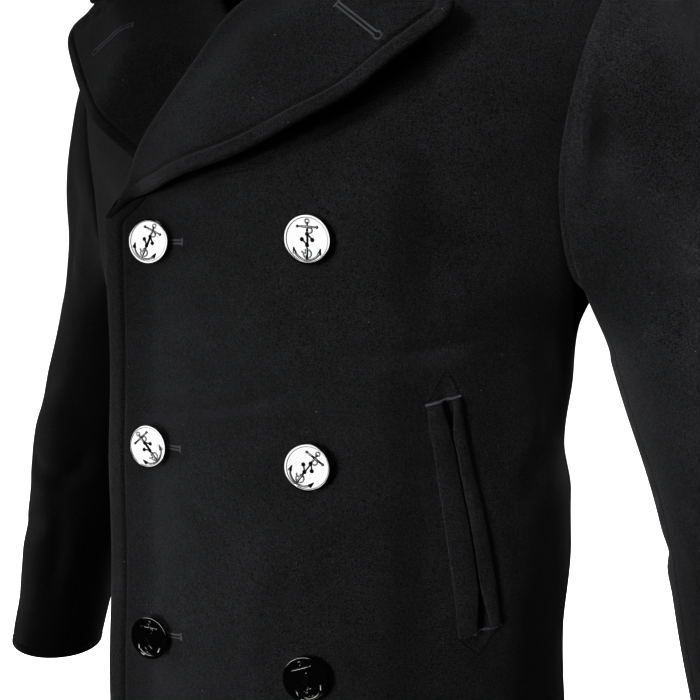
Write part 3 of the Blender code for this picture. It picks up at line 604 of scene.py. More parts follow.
def placeNew(name, data):
    made = bpy.data.objects.new(name, data)
    bpy.context.scene.collection.objects.link(made)
    return made


def meshObject(name, vertices, faces, material, uvPerVertex=None):
    mesh = bpy.data.meshes.new(name)
    mesh.from_pydata(vertices.tolist(), [], faces)
    mesh.polygons.foreach_set("use_smooth", [True] * len(mesh.polygons))
    if uvPerVertex is not None:
        corners = np.empty(len(mesh.loops), dtype=np.int32)
        mesh.loops.foreach_get("vertex_index", corners)
        mesh.uv_layers.new(name="cloth").data.foreach_set("uv", uvPerVertex[corners].ravel())
    mesh.materials.append(material)
    return placeNew(name, mesh)


# The z axis beside each point: what the cloth of the body hangs round
def onAxis(points):
    return points * np.array([0.0, 0.0, 1.0])


# A closed piece of cloth round a middle grid, with rounded edges, relief and stitched grooves
def clothPiece(name, middle, thick, centre=None, relief=0.0, slanted=False, stitched=None,
               inset=clothMesh["inset"], seams=None):
    normal, flipped = gridNormals(middle, onAxis(middle) if centre is None else centre)
    shape = {"middle": middle, "normal": normal, "flipped": flipped, "thick": thick, "relief": relief}
    return closeCloth(name, shape, *edgeReach(middle, slanted), stitched, inset, seams or {})


# seams: a seamed edge turns down more or less sharply than an open one
# notch: rows and column of a corner that is cut out of the grid
def closeCloth(name, shape, reach, uv, stitched, inset, seams, notch=None):
    middle, normal = shape["middle"], shape["normal"]
    rows, columns = middle.shape[:2]
    border = np.zeros((rows, columns), dtype=bool)
    border[[0, -1], :] = border[:, [0, -1]] = True
    cells = np.ones((rows - 1, columns - 1), dtype=bool)
    if notch:
        low, high, column = notch
        cells[low:high, column:] = False
        border[low:high + 1, column] = border[low, column:] = border[high, column:] = True
    half = np.broadcast_to(np.asarray(shape["thick"], dtype=float), (rows, columns)) / 2.0
    turning = [away * seams.get(side, 1.0) for side, away in reach.items()]
    nearest = np.clip(np.where(border, 0.0, np.minimum.reduce(turning)) / half, 0.0, 1.0)
    wall = half * np.sqrt(1.0 - (1.0 - nearest) ** 2)
    face = np.zeros((rows, columns))
    if stitched:
        away = reach[stitched]
        rise, fall = clothMesh["bandRun"]
        face -= clothMesh["groove"] * np.exp(-((away - inset) / clothMesh["grooveWidth"]) ** 2)
        swell = smoothStep(0.0, inset * rise, away) * (1.0 - smoothStep(inset * fall, inset, away))
        face += clothMesh["band"] * swell
    outside = middle + normal * (shape["relief"] + wall + face * nearest)[..., None]
    inside = middle + normal * (shape["relief"] - wall)[..., None]
    outer = np.arange(rows * columns).reshape(rows, columns)
    inner = np.where(border, outer, outer + rows * columns)

    def quads(index):
        corners = (index[:-1, :-1], index[:-1, 1:], index[1:, 1:], index[1:, :-1])
        return np.stack([corner[cells] for corner in corners], axis=-1)

    top, under = quads(outer), quads(inner)
    top, under = (top[:, ::-1], under) if shape["flipped"] else (top, under[:, ::-1])
    used, faces = np.unique(np.concatenate([top, under]), return_inverse=True)
    vertices = np.concatenate([outside.reshape(-1, 3), inside.reshape(-1, 3)])[used]
    uvs = np.concatenate([uv.reshape(-1, 2), uv.reshape(-1, 2)])[used]
    made = meshObject(name + "_cloth", vertices, faces.reshape(-1, 4).tolist(), meltonWool, uvs)
    return {"object": made, "outside": outside, "normal": normal, "reach": reach}


sides = {"left": True, "right": False}


def sidedPoints(points, isLeft):
    return points if isLeft else points * np.array([-1.0, 1.0, 1.0])


sheetPieces = {}


# A finished cloth piece rides on the one body, stands for its node and is kept in sheetPieces with
# its flat size, area and how it is held
def finishCloth(piece, node, flat, area, held="hung"):
    made = piece["object"]
    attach(made, "root")
    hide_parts(node)
    sheetPieces[node] = {"object": made, "flat": flat, "area": area, "held": held, "with": []}
    return piece


def finishDetail(made, on=None):
    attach(made, "root")
    if on:
        sheetPieces[on]["with"].append(made)

# The panels' grid goes round the armhole: below its lower corner and above its upper corner the rows
# run on to the side seam and the shoulder, and between the corners they end at the armhole
panel = {
    "underRows": 148,
    "besideRows": 48,
    "overRows": 24,
    "edgePlaces": 1601,
    "edgeCrowd": 1.6,
    "edgeEnds": 5,              # places at the armhole's ends that can't be corners
    "bendDepth": 0.25,
    "bendRise": 0.060,
    "coarse": 25,
    "sideRun": 0.07,            # usual length of a row beyond the corners
    "turnRadius": 0.21,
    "frontInset": 0.0165,
    "pastInset": 0.0035,        # the fine columns go on this far beyond the stitches
    "probe": (0.002, 0.0004),
    # columns up to and beyond the corners, sharpness of the seamed edges, flat size and area
    "front": {"columns": (84, 34), "seams": {"end": 0.85}, "flat": (0.42, 0.77), "area": 0.235},
    "back": {
        "columns": (54, 40), "seams": {"start": 1.35, "end": 0.85},
        "flat": (0.31, 0.77), "area": 0.190,
    },
}


# Angles and heights along the armhole edge of a panel, and the places of its two 45 degree corners
def armholeEdge(deepest):
    span = body["shoulderTipZ"] - body["armpitZ"]
    share = (1.0 - np.cos(np.linspace(0.0, math.pi, panel["edgePlaces"]))) / 2.0
    z = body["armpitZ"] + span * share ** panel["edgeCrowd"]
    z[-1] = body["shoulderTipZ"]
    angle = sideLimit(z, deepest)
    steepness = np.abs(np.log(np.abs(np.gradient(angle * panel["turnRadius"], z)) + 1e-9))
    middle, ends = len(z) // 2, panel["edgeEnds"]
    low = int(np.argmin(steepness[ends:middle])) + ends
    high = int(np.argmin(steepness[middle:-ends])) + middle
    return angle, z, low, high


def curvePlaces(angle, z, shares):
    length = pathLengths(np.column_stack([angle * panel["turnRadius"], z]))
    return between(shares * length[-1], length, np.column_stack([angle, z])).T


# Angles and heights of the grid, the rows and column of the armhole's corners
def panelGrid(farEdge, deepest, columns, isFront):
    edgeAngle, edgeZ, low, high = armholeEdge(deepest)
    half = body["cloth"] / 2.0
    zLow, zHigh = edgeZ[low], edgeZ[high]
    under = body["hemZ"] + rowPlaces(zLow - body["hemZ"], panel["underRows"], half)
    beside = np.linspace(zLow, zHigh, panel["besideRows"])[1:-1]
    over = zHigh + rowPlaces(body["topZ"] - zHigh, panel["overRows"], half)
    rows = np.concatenate([under, beside, over])
    endAngle = np.interp(np.clip(rows, zLow, zHigh), edgeZ, edgeAngle)[:, None]
    start = farEdge(rows)[:, None]
    coarse = np.linspace(0.0, 1.0, panel["coarse"])
    length = gridLengths(bodySurface(start + (endAngle - start) * coarse, rows[:, None]), 1)[:, -1]
    fineRun = panel["frontInset"] + panel["pastInset"]
    share = rowPlaces(length, columns[0], half, isFront, False, fineRun) / length[:, None]
    main = start + (endAngle - start) * share
    # beyond the corners
    side = rowPlaces(panel["sideRun"], columns[1], half)[1:] / panel["sideRun"]
    belowArm = sideLimit(np.minimum(rows, body["armpitZ"]), 0.0)
    sideAngle = np.where(rows < zLow + 1e-9, belowArm, 0.0)[:, None]
    straight = endAngle + (sideAngle - endAngle) * side
    lowAngle, lowZ = curvePlaces(edgeAngle[low::-1], edgeZ[low::-1], side)
    highAngle, highZ = curvePlaces(edgeAngle[high:], edgeZ[high:], side)
    isUnder = (rows < (zLow + zHigh) / 2.0)[:, None]
    bend = np.where(isUnder[:, 0], smoothStep(zLow - panel["bendDepth"], zLow, rows),
                    1.0 - smoothStep(zHigh, zHigh + panel["bendRise"], rows))[:, None]
    bentAngle = np.where(isUnder, lowAngle, highAngle)
    bentZ = np.where(isUnder, lowZ - zLow, highZ - zHigh)
    angles = np.concatenate([main, straight + (bentAngle - straight) * bend], axis=1)
    mainZ = np.broadcast_to(rows[:, None], main.shape)
    heights = np.concatenate([mainZ, rows[:, None] + bentZ * bend], axis=1)
    return angles, heights, (len(under) - 1, len(under) + len(beside), main.shape[1] - 1)


def makePanel(node, kind, farEdge, liftRule, thickRule, reliefRule, isLeft):
    isFront = kind == "front"
    angles, z, notch = panelGrid(farEdge, armhole[kind], panel[kind]["columns"], isFront)
    x = bodySurface(angles, z)[..., 0]
    thick = thickRule(x - x[:, :1])

    def middleAt(a, h):
        return lifted(a, h, liftRule(a, h) - thick / 2.0)

    middle = middleAt(angles, z)
    rowLow, rowHigh, column = notch
    edge = np.concatenate([
        middle[:rowLow, -1], middle[rowLow, :column:-1], middle[rowLow:rowHigh, column],
        middle[rowHigh, column:], middle[rowHigh + 1:, -1],
    ])
    fromStart = gridLengths(middle, 1)
    reach = {"start": fromStart, "end": lineDistance(middle, edge),
             "foot": z - body["hemZ"], "top": body["topZ"] - z}
    shape = {
        "middle": sidedPoints(middle, isLeft), "thick": thick, "relief": reliefRule(angles, z),
        "normal": sidedPoints(surfaceNormal(middleAt, angles, z, *panel["probe"]), isLeft),
        "flipped": not isLeft,
    }
    piece = closeCloth(node, shape, reach, np.stack([fromStart, z - body["hemZ"]], axis=-1),
                       "start" if isFront else None, panel["frontInset"], panel[kind]["seams"], notch)
    return finishCloth(piece, node, panel[kind]["flat"], panel[kind]["area"])


def frontThick(fromEdge):
    faced = 1.0 - smoothStep(*body["facedRun"], fromEdge)
    return body["cloth"] + (body["doubleCloth"] - body["cloth"]) * faced


def makeFront(node, isLeft):
    return makePanel(
        node, "front", lambda z: angleAt(leftLeadX(z), z),
        lambda angle, z: frontLift(angle, z, isLeft), frontThick,
        lambda angle, z: frontRelief(angle, z, isLeft) + pocketSwell(angle, z), isLeft)


def makeBack(node, isLeft):
    return makePanel(
        node, "back", lambda z: np.full(z.shape, -math.pi / 2.0),
        lambda angle, z: frontLift(angle, z, False), lambda far: np.full(far.shape, body["cloth"]),
        lambda angle, z: bodyRelief(angle if isLeft else -math.pi - angle, z), isLeft)


pocket = {
    "top": (0.1357, -0.3425),
    "bottom": (0.1526, -0.4905),
    "weltWidth": 0.0110,
    "lipWidth": 0.0066,
    # the ends slant this much along for each metre across, at the top and at the bottom
    "skew": (0.19, 0.32),
    "swell": 0.0011,            # the panel rises this much towards the pocket, over the hidden bag
    "swellRun": 0.014,
    "swellIn": 0.001,
    "endRun": 0.004,
    "thick": 0.0026,
    "rows": 60,
    "columns": 9,
    "flatShare": 1.2,           # width of a strip laid flat, over its width as shown
    "leastFlat": 0.0101,
    "lift": 0.0029,             # outside of welt and lip over the nominal panel
    "crown": 0.0009,
    "mouth": (0.0034, 0.0026),  # depth and half width of the dip under the mouth
    "outline": (0.0013, 0.0016, 0.0008),    # the same round the strips, and how far outside them
    "gape": (0.0026, 0.0022),
    "gapeRun": (0.024, 0.032),
    "gapeEnd": 0.002,
    "closedGape": 0.00015,
    "tips": ((0.1355, -0.3228), (0.1523, -0.5084)),
}
pocketTop = np.array(pocket["top"])
pocketLength = float(np.linalg.norm(np.array(pocket["bottom"]) - pocketTop))
pocketDown = (np.array(pocket["bottom"]) - pocketTop) / pocketLength
pocketInward = np.array([pocketDown[1], -pocketDown[0]])


# Depth of the dips and rises of the panel under and round the pocket
def pocketSwell(angle, z):
    x = bodySurface(angle, z)[..., 0]
    along = (x - pocketTop[0]) * pocketDown[0] + (z - pocketTop[1]) * pocketDown[1]
    across = (x - pocketTop[0]) * pocketDown[1] - (z - pocketTop[1]) * pocketDown[0]
    run, end = pocket["swellRun"], pocket["endRun"]
    inAlong = smoothStep(-run, end, along)
    inAlong = inAlong * (1.0 - smoothStep(pocketLength - end, pocketLength + run, along))
    beside = np.where(across > 0.0, across - pocket["weltWidth"], -across - pocket["lipWidth"])
    mouthDepth, mouthWidth = pocket["mouth"]
    depth, width, outside = pocket["outline"]
    dips = [(0.0, mouthDepth, mouthWidth), (pocket["weltWidth"] + outside, depth, width),
            (-pocket["lipWidth"] - outside, depth, width)]
    total = pocket["swell"] * (1.0 - smoothStep(-pocket["swellIn"], run, beside))
    for place, deep, wide in dips:
        total = total - deep * np.exp(-((across - place) / wide) ** 2)
    return total * inAlong * (np.sin(angle) > 0.0)


# x and z of places along and across the pocket mouth, whose ends slant
def pocketPlace(along, across):
    skew = pocket["skew"][0] + (pocket["skew"][1] - pocket["skew"][0]) * along / pocketLength
    slanted = along + skew * across
    return [pocketTop[k] + pocketDown[k] * slanted + pocketInward[k] * across for k in (0, 1)]


# Half the width of the mouth, which gapes towards each end and lies closed between
def mouthGape(along):
    gape = pocket["closedGape"]
    for widest, run, fromEnd in zip(pocket["gape"], pocket["gapeRun"], (along, pocketLength - along)):
        gape = gape + widest * (1.0 - smoothStep(pocket["gapeEnd"], run, fromEnd))
    return gape


frontPieces = {}
for side, isLeft in sides.items():
    frontPieces["front_" + side] = makeFront("front_" + side, isLeft)
for side, isLeft in sides.items():
    makeBack("back_" + side, isLeft)
print("fronts and backs made")

# ---- lapels and collar

lapelCut = {
    # x, z, corner radius, from the break round to the notch, for the left lapel and the right
    "outline": {
        True: (
            (-0.0915, -0.2290, 0.0), (-0.0745, -0.2165, 0.020), (-0.0390, -0.2130, 0.150),
            (0.0300, -0.1985, 0.300), (0.0776, -0.1765, 0.150), (0.1410, -0.1200, 0.014),
            (0.1000, -0.0880, 0.0),
        ),
        False: (
            (-0.0800, -0.2290, 0.0), (0.0480, -0.2190, 0.020), (0.0645, -0.2090, 0.020),
            (0.1510, -0.0960, 0.014), (0.1000, -0.0880, 0.0),
        ),
    },
    "outlineStep": 0.0005,
    "footZ": -0.2285,
    "gorgeZ": -0.026,
    "gorgeGap": 0.0005,
    "partRows": 13,
    "notchSag": 0.011,
    "notchBow": 1.5,
    "radius": {True: 0.0050, False: 0.0036},
    "footRadius": 0.0016,
    "footThick": 0.35,
    "footTaper": 0.022,
    "slip": 0.0020,
    "footRun": 0.050,
    "slipRun": 0.020,
    "standOff": {True: 0.0085, False: 0.0240},
    "standOffRun": 0.060,
    "coveredEdge": 0.009,
    "foldGap": 0.0006,
    "foldProbe": 0.006,
    "rollSteps": 12,
    "rows": 92,
    "columns": 34,
    # the lapel's own softness: a long shallow bow, deeper towards the point
    "softness": (
        (0.000, -0.150, 0.110, -0.105, 0.012, 0.020, 0.0011),
        (-0.030, -0.190, 0.060, -0.170, 0.004, 0.012, -0.0007),
        (0.050, -0.070, 0.120, -0.120, -0.006, 0.016, -0.0006),
    ),
    "softShift": {True: 0.0, False: 0.006},
    "softStart": 0.35,
    "flat": (0.20, 0.30),
    "area": 0.0245,
}

collarCut = {
    "standTop": ((40.0, 0.0040), (28.0, 0.0120), (8.0, 0.0220), (-20.0, 0.0300), (-90.0, 0.0370)),
    "standFront": math.radians(36.0),
    "standColumns": 190,
    "standRows": (0.0, 0.02, 0.06, 0.12, *np.linspace(0.2, 0.8, 9), 0.88, 0.94, 0.98, 1.0),
    "standFlat": (0.50, 0.045),
    "standArea": 0.0128,
    "foldJoinZ": -0.004,
    "foldEnd": -121.0,
    "foldStep": 0.001,
    "point": (0.152, -0.070),
    "edge": (
        (43.0, -0.0440), (30.0, -0.0330), (15.0, -0.0265), (0.0, -0.0245),
        (-20.0, -0.0280), (-45.0, -0.0400), (-90.0, -0.0560),
    ),
    "endRows": 3.0,
    "sideRows": 10.0,
    "firstRows": (0.0, 0.006, 0.02, 0.045, 0.08),
    "rows": (24, 74),
    "bridge": 0.005,
    "crowd": 1.3,
    "settle": 0.55,
    "rollRadius": 0.0040,
    "columns": 34,
    "leafFlat": (0.66, 0.115),
    "leafArea": 0.052,
}


def rounded(corners):
    points = [np.array(corners[0][:2])]
    for index in range(1, len(corners) - 1):
        before, corner, after = (np.array(corners[index + k][:2]) for k in (-1, 0, 1))
        towards, away = unit(before - corner), unit(after - corner)
        half = math.acos(float(np.clip(np.dot(towards, away), -1.0, 1.0))) / 2.0
        longest = 0.45 * min(np.linalg.norm(before - corner), np.linalg.norm(after - corner))
        reach = min(corners[index][2] / math.tan(half), longest)
        start, end = corner + towards * reach, corner + away * reach
        for t in np.linspace(0.0, 1.0, 17):
            points.append((1 - t) ** 2 * start + 2 * t * (1 - t) * corner + t * t * end)
    points.append(np.array(corners[-1][:2]))
    return resampled(np.array(points), lapelCut["outlineStep"])


def tableCurve(rows, where):
    data = sorted((math.radians(angle), height) for angle, height in rows)
    return smoothTable(data)(where)[..., 0]


def standTop(angle):
    fromSide = np.where(angle < -math.pi / 2.0, -math.pi - angle, angle)
    return tableCurve(collarCut["standTop"], fromSide)


# The fold of lapel and collar: length, angle and height, from the break to the back
def foldLine():
    rise = np.arange(lapelCut["footZ"], collarCut["foldJoinZ"], collarCut["foldStep"])
    around = np.radians(np.arange(collarCut["standTop"][0][0], collarCut["foldEnd"], -1.0))
    angles = np.concatenate([angleAt(leftRollX(rise), rise), around])
    heights = np.concatenate([rise, standTop(around)])
    return np.column_stack([pathLengths(bodySurface(angles, heights)), angles, heights])


fold = foldLine()


def foldPlaces(where):
    return np.interp(where, fold[:, 0], fold[:, 1]), np.interp(where, fold[:, 0], fold[:, 2])


def gorgeLength():
    rising = fold[: int(np.argmax(fold[:, 2])) + 1]
    return float(np.interp(lapelCut["gorgeZ"], rising[:, 2], rising[:, 0]))


# Point, outward normal and direction across the fold
def foldFrames(where):
    probe = lapelCut["foldProbe"]
    ahead = bodySurface(*foldPlaces(where + probe)) - bodySurface(*foldPlaces(where - probe))
    normal = bodyNormal(*foldPlaces(where))
    return bodySurface(*foldPlaces(where)), normal, unit(np.cross(unit(ahead), normal))


# The roll is pressed flat at its foot and opens upwards
def rollRadius(z, isLeft):
    open = smoothStep(lapelCut["footZ"], lapelCut["footZ"] + lapelCut["footRun"], z)
    return lapelCut["footRadius"] + (lapelCut["radius"][isLeft] - lapelCut["footRadius"]) * open


# Middle of the doubled cloth of a front, from which lapel and collar turn back
def foldRoot(angle, z, isLeft):
    return frontLift(angle, z, isLeft) - body["doubleCloth"] / 2.0


# Middle of the flap of a lapel over its panel
def flapLift(angle, z, isLeft):
    foldX = leftRollX(z)
    if not isLeft:
        foldX = np.abs(foldX) + lapelCut["coveredEdge"]
    away = smoothStep(0.0, lapelCut["standOffRun"], bodySurface(angle, z)[..., 0] - foldX)
    lift = 2.0 * rollRadius(z, isLeft) + lapelCut["standOff"][isLeft] * away
    return foldRoot(angle, z, isLeft) + lift


def notchPlace(towardsCollar):
    foldEnd = np.array([float(leftRollX(lapelCut["gorgeZ"])), lapelCut["gorgeZ"]])
    notch = np.array(lapelCut["outline"][True][-1][:2])
    along = unit(notch - foldEnd)
    return notch + np.array([-along[1], along[0]]) * towardsCollar * lapelCut["gorgeGap"] / 2.0


# Half round of cloth over the fold, then the flap: rows of middle points
def rolledRows(where, root, radius, flap):
    point, normal, across = foldFrames(where)
    # at its foot the roll slips inwards until it ends flush with the front edge
    beyond = smoothStep(lapelCut["footZ"], lapelCut["footZ"] + lapelCut["slipRun"], point[:, 2])
    slip = lapelCut["slip"] * (1.0 - beyond) - lapelCut["foldGap"]
    centre = point + across * slip[:, None] + normal * (root + radius)[:, None]
    turns = math.pi * np.arange(lapelCut["rollSteps"])[None, :, None] / lapelCut["rollSteps"]
    rays = -np.cos(turns) * normal[:, None] - np.sin(turns) * across[:, None]
    return np.concatenate([centre[:, None] + rays * radius[:, None, None], flap], axis=1)


def lapelRelief(x, z, isLeft):
    return creases(x + lapelCut["softShift"][isLeft], z, lapelCut["softness"])


def makeLapel(node, isLeft):
    gorge = gorgeLength() - lapelCut["gorgeGap"] / 2.0
    half = body["doubleCloth"] / 2.0
    where = rowPlaces(gorge, lapelCut["rows"], half)
    share = where / gorge
    outline = rounded(lapelCut["outline"][isLeft][:-1] + ((*notchPlace(-1.0), 0.0),))
    outlineLength = pathLengths(outline)
    edge = between(share * outlineLength[-1], outlineLength, outline)
    foldAngle, foldZ = foldPlaces(where)
    foldX = bodySurface(foldAngle, foldZ)[:, 0]
    width = np.hypot(edge[:, 0] - foldX, edge[:, 1] - foldZ)
    away = rowPlaces(width, lapelCut["columns"], half, False, True) / width[:, None]
    # the last rows bow towards the notch
    rowsAway = (1.0 - share) * lapelCut["partRows"]
    sag = lapelCut["notchSag"] * rowsAway * np.exp(1.0 - rowsAway)
    bow = np.sin(math.pi * away ** lapelCut["notchBow"]) * sag[:, None]
    seam = unit(edge[-1] - np.array([foldX[-1], foldZ[-1]]))
    x = foldX[:, None] + (edge[:, 0] - foldX)[:, None] * away + bow * seam[1]
    z = foldZ[:, None] + (edge[:, 1] - foldZ)[:, None] * away - bow * seam[0]
    angle = angleAt(x, z)
    flap = lifted(angle, z, flapLift(angle, z, isLeft))
    middle = rolledRows(where, foldRoot(foldAngle, foldZ, isLeft), rollRadius(foldZ, isLeft), flap)
    relief = np.zeros(middle.shape[:2])
    soften = smoothStep(0.0, lapelCut["softStart"], away)
    relief[:, lapelCut["rollSteps"]:] = lapelRelief(x, z, isLeft) * soften
    thin = (1.0 - lapelCut["footThick"]) * (1.0 - smoothStep(0.0, lapelCut["footTaper"], where))
    thick = body["doubleCloth"] * (1.0 - thin)[:, None]
    piece = clothPiece(node, sidedPoints(middle, isLeft), thick, None, relief, True, "end")
    return finishCloth(piece, node, lapelCut["flat"], lapelCut["area"], "folded")


def makeStand(node):
    front = collarCut["standFront"]
    angles = np.linspace(front, -math.pi - front, collarCut["standColumns"])
    rise = standTop(angles) - 2.0 * body["seam"]
    heights = body["seam"] + rise * np.array(collarCut["standRows"])[:, None]
    middle = lifted(angles, heights, np.full(heights.shape, -body["cloth"] / 2.0))
    piece = clothPiece(node, middle, body["cloth"])
    finishCloth(piece, node, collarCut["standFlat"], collarCut["standArea"], "folded")


# Angles and heights of the leaf's edge: from the notch to the point, then round to the back
def leafEdge(row):
    corner = np.array(collarCut["point"])
    notch = notchPlace(1.0)
    share = np.clip(row / collarCut["endRows"], 0.0, 1.0)[:, None]
    end = notch + (corner - notch) * share
    angles = np.radians(np.arange(collarCut["edge"][0][0], -91.0, -1.0))
    side = np.column_stack([angles, tableCurve(collarCut["edge"], angles)])
    side = np.concatenate([[[float(angleAt(*corner)), corner[1]]], side])
    length = pathLengths(bodySurface(side[:, 0], side[:, 1]))
    where = np.clip((row - collarCut["endRows"]) / collarCut["sideRows"], 0.0, 1.0) * length[-1]
    onEnd = row <= collarCut["endRows"]
    sideAngle, sideZ = between(where, length, side).T
    endAngle = angleAt(end[:, 0], end[:, 1])
    return np.where(onEnd, endAngle, sideAngle), np.where(onEnd, end[:, 1], sideZ)


def leafHalf(isLeft):
    endRows, allRows = collarCut["endRows"], collarCut["endRows"] + collarCut["sideRows"]
    endCount, sideCount = collarCut["rows"]
    row = np.concatenate([collarCut["firstRows"], np.linspace(0.15, endRows, endCount)[:-1],
                          np.linspace(endRows, allRows, sideCount)])
    progress = row / allRows
    start = gorgeLength() + lapelCut["gorgeGap"] / 2.0
    back = float(np.interp(math.pi / 2.0, -fold[:, 1], fold[:, 0]))
    where = start + (back - start) * progress ** collarCut["crowd"]
    foldAngle, foldZ = foldPlaces(where)
    point = bodySurface(foldAngle, foldZ)
    settle = smoothStep(0.0, collarCut["settle"], progress)
    root = foldRoot(foldAngle, foldZ, isLeft) * (1.0 - settle) - body["cloth"] / 2.0 * settle
    radius = rollRadius(foldZ, isLeft) * (1.0 - settle) + collarCut["rollRadius"] * settle
    byFront = (1.0 - smoothStep(0.0, endRows + 1.0, row))[:, None]
    edgeAngle, edgeZ = leafEdge(row)
    edgePoint = bodySurface(edgeAngle, edgeZ)
    width = np.linalg.norm(edgePoint - point, axis=1)
    share = rowPlaces(width, collarCut["columns"], body["doubleCloth"] / 2.0, False, True)
    share = share / width[:, None]
    z = foldZ[:, None] + (edgeZ - foldZ)[:, None] * share
    angle = foldAngle[:, None] + (edgeAngle - foldAngle)[:, None] * share
    straight = angleAt(point[:, :1] + (edgePoint[:, :1] - point[:, :1]) * share, z)
    angle = angle + (straight - angle) * byFront
    settle = settle[:, None]
    bridge = collarCut["bridge"] * np.sin(math.pi * share) * settle
    settled = -body["cloth"] / 2.0 + 2.0 * collarCut["rollRadius"] + bridge
    height = flapLift(angle, z, isLeft) * (1.0 - settle) + settled * settle
    return sidedPoints(rolledRows(where, root, radius, lifted(angle, z, height)), isLeft)


def makeLeaf(node):
    middle = np.concatenate([leafHalf(True), leafHalf(False)[-2::-1]])
    piece = clothPiece(node, middle, body["doubleCloth"], slanted=True, stitched="end")
    return finishCloth(piece, node, collarCut["leafFlat"], collarCut["leafArea"], "folded")


lapelPieces = {"lapel_" + side: makeLapel("lapel_" + side, isLeft) for side, isLeft in sides.items()}
makeStand("collar_stand")
leafPiece = makeLeaf("collar_leaf")
print("lapels and collar made")

# ---- sleeves

sleeve = {
    # x, y and z of the middle line, half width across, half depth front to back
    "rings": (
        (0.267, 0.043, -0.305, 0.058, 0.072),
        (0.291, 0.042, -0.380, 0.055, 0.066),
        (0.311, 0.034, -0.470, 0.051, 0.060),
        (0.327, 0.021, -0.560, 0.047, 0.054),
        (0.338, 0.009, -0.658, 0.042, 0.048),
    ),
    "armRows": 7,
    "capLeave": 0.35,
    "capPuff": 0.28,
    "capDrop": (0.3, 0.9),
    "capArrive": (0.8, 0.5),
    "lift": 0.0007,
    "capLength": 0.18,
    "girth": 0.058,
    "hemInset": 0.0085,
    "allowance": 0.006,
    "probe": (0.01, 0.004),
    "wallRun": (-0.001, 0.006),     # metres down over which the wall turns in from the armhole
    "edgeRows": (0.0, 0.0006, 0.0014),
    "seams": {"start": 2.4, "end": 2.4, "foot": 0.75},
    # first and last turn in degrees, columns, flat size, area
    "parts": {
        "top": (-60.0, 202.0, 76, (0.29, 0.62), 0.140),
        "under": (202.0, 300.0, 40, (0.17, 0.50), 0.060),
    },
    # cloth eased into the armhole swells just past the seam
    "ease": 0.0016,
    "easeIn": (0.001, 0.010),
    "easeOut": (0.012, 0.040),
    "waves": (0.0012, 38.0, 1.3),   # depth, waves down each metre, sway
    "wavePhase": {True: 0.4, False: 1.9},
    "foldsIn": (0.004, 0.040),
    "foldsOut": (0.47, 0.52, 0.8),
    # how each sleeve swells and pinches down its outer front: metres down and swell
    "hang": {
        True: ((-0.01, 0.0), (0.60, 0.0), (0.70, 0.0)),
        False: (
            (-0.010, 0.0), (0.000, -0.0015), (0.018, -0.0030), (0.045, -0.0035), (0.080, -0.0040),
            (0.125, -0.0045), (0.180, -0.0005), (0.250, 0.0030), (0.330, 0.0060), (0.400, 0.0010),
            (0.445, -0.0030), (0.485, -0.0045), (0.530, -0.0010), (0.620, 0.0),
        ),
    },
    "hangTurn": 62.0,
    # turn 0 in degrees, metres down 0, turn 1, metres down 1, bow, half width, depth
    "folds": {
        True: (
            (-2, 0.040, 17, 0.136, -0.003, 0.0110, -0.0098),
            (8, 0.150, 22, 0.144, 0.001, 0.0035, -0.0016),
            (30, 0.030, 62, 0.115, 0.006, 0.0140, 0.0078),
            (24, 0.012, 2, 0.060, 0.003, 0.0130, -0.0062),
            (-36, 0.300, 20, 0.322, 0.008, 0.0100, -0.0042),
            (-30, 0.345, 34, 0.360, -0.006, 0.0090, -0.0036),
            (10, 0.330, 70, 0.300, 0.006, 0.0110, -0.0030),
            (-38, 0.395, 10, 0.430, 0.006, 0.0100, -0.0030),
            (150, 0.260, 200, 0.300, 0.006, 0.0120, -0.0034),
            (140, 0.330, 205, 0.350, -0.005, 0.0110, -0.0032),
            (120, 0.100, 170, 0.170, 0.006, 0.0140, -0.0028),
            (226, 0.300, 290, 0.330, 0.006, 0.0100, -0.0030),
            (80, 0.420, 130, 0.450, 0.004, 0.0120, -0.0018),
        ),
        False: (
            (2, 0.060, 17, 0.136, -0.004, 0.0090, -0.0040),
            (-40, 0.318, -12, 0.362, 0.006, 0.0090, -0.0048),
            (-26, 0.395, -30, 0.470, 0.004, 0.0090, -0.0036),
            (-20, 0.350, 30, 0.338, 0.006, 0.0100, -0.0030),
            (8, 0.250, 44, 0.300, -0.006, 0.0120, -0.0026),
            (28, 0.060, 60, 0.120, 0.006, 0.0140, 0.0022),
            (-10, 0.405, 46, 0.420, 0.006, 0.0110, -0.0022),
            (150, 0.270, 200, 0.294, 0.006, 0.0120, -0.0030),
            (146, 0.340, 205, 0.362, -0.006, 0.0110, -0.0034),
            (122, 0.110, 168, 0.176, 0.004, 0.0140, -0.0026),
            (228, 0.290, 292, 0.320, 0.004, 0.0100, -0.0028),
            (84, 0.410, 128, 0.448, 0.004, 0.0120, -0.0018),
        ),
    },
}


# Places and outward directions along the armhole for turns round the sleeve (0 front, 90 degrees top,
# 180 back)
def armholePlaces(turns):
    share = (1.0 - np.sin(turns)) / 2.0
    height = body["shoulderTipZ"] + (body["armpitZ"] - body["shoulderTipZ"]) * share
    deepest = np.where(np.cos(turns) >= 0.0, armhole["front"], armhole["back"])
    angle = deepest * armholeSwing(np.cos(turns), share) + armhole["sideSeam"] * share
    outward = bodyNormal(angle, height)
    return bodySurface(angle, height) + outward * sleeve["lift"], outward, share


armRings = np.array(sleeve["rings"])
armAt = pathLengths(armRings[:, :3])
armLength = float(armAt[-1])
armTable = smoothTable(np.column_stack([armAt, armRings]))
armMiddles = armTable(np.linspace(0.0, armLength, sleeve["armRows"] + 1))[:, :3]
armAxes = unit(np.gradient(armMiddles, axis=0))


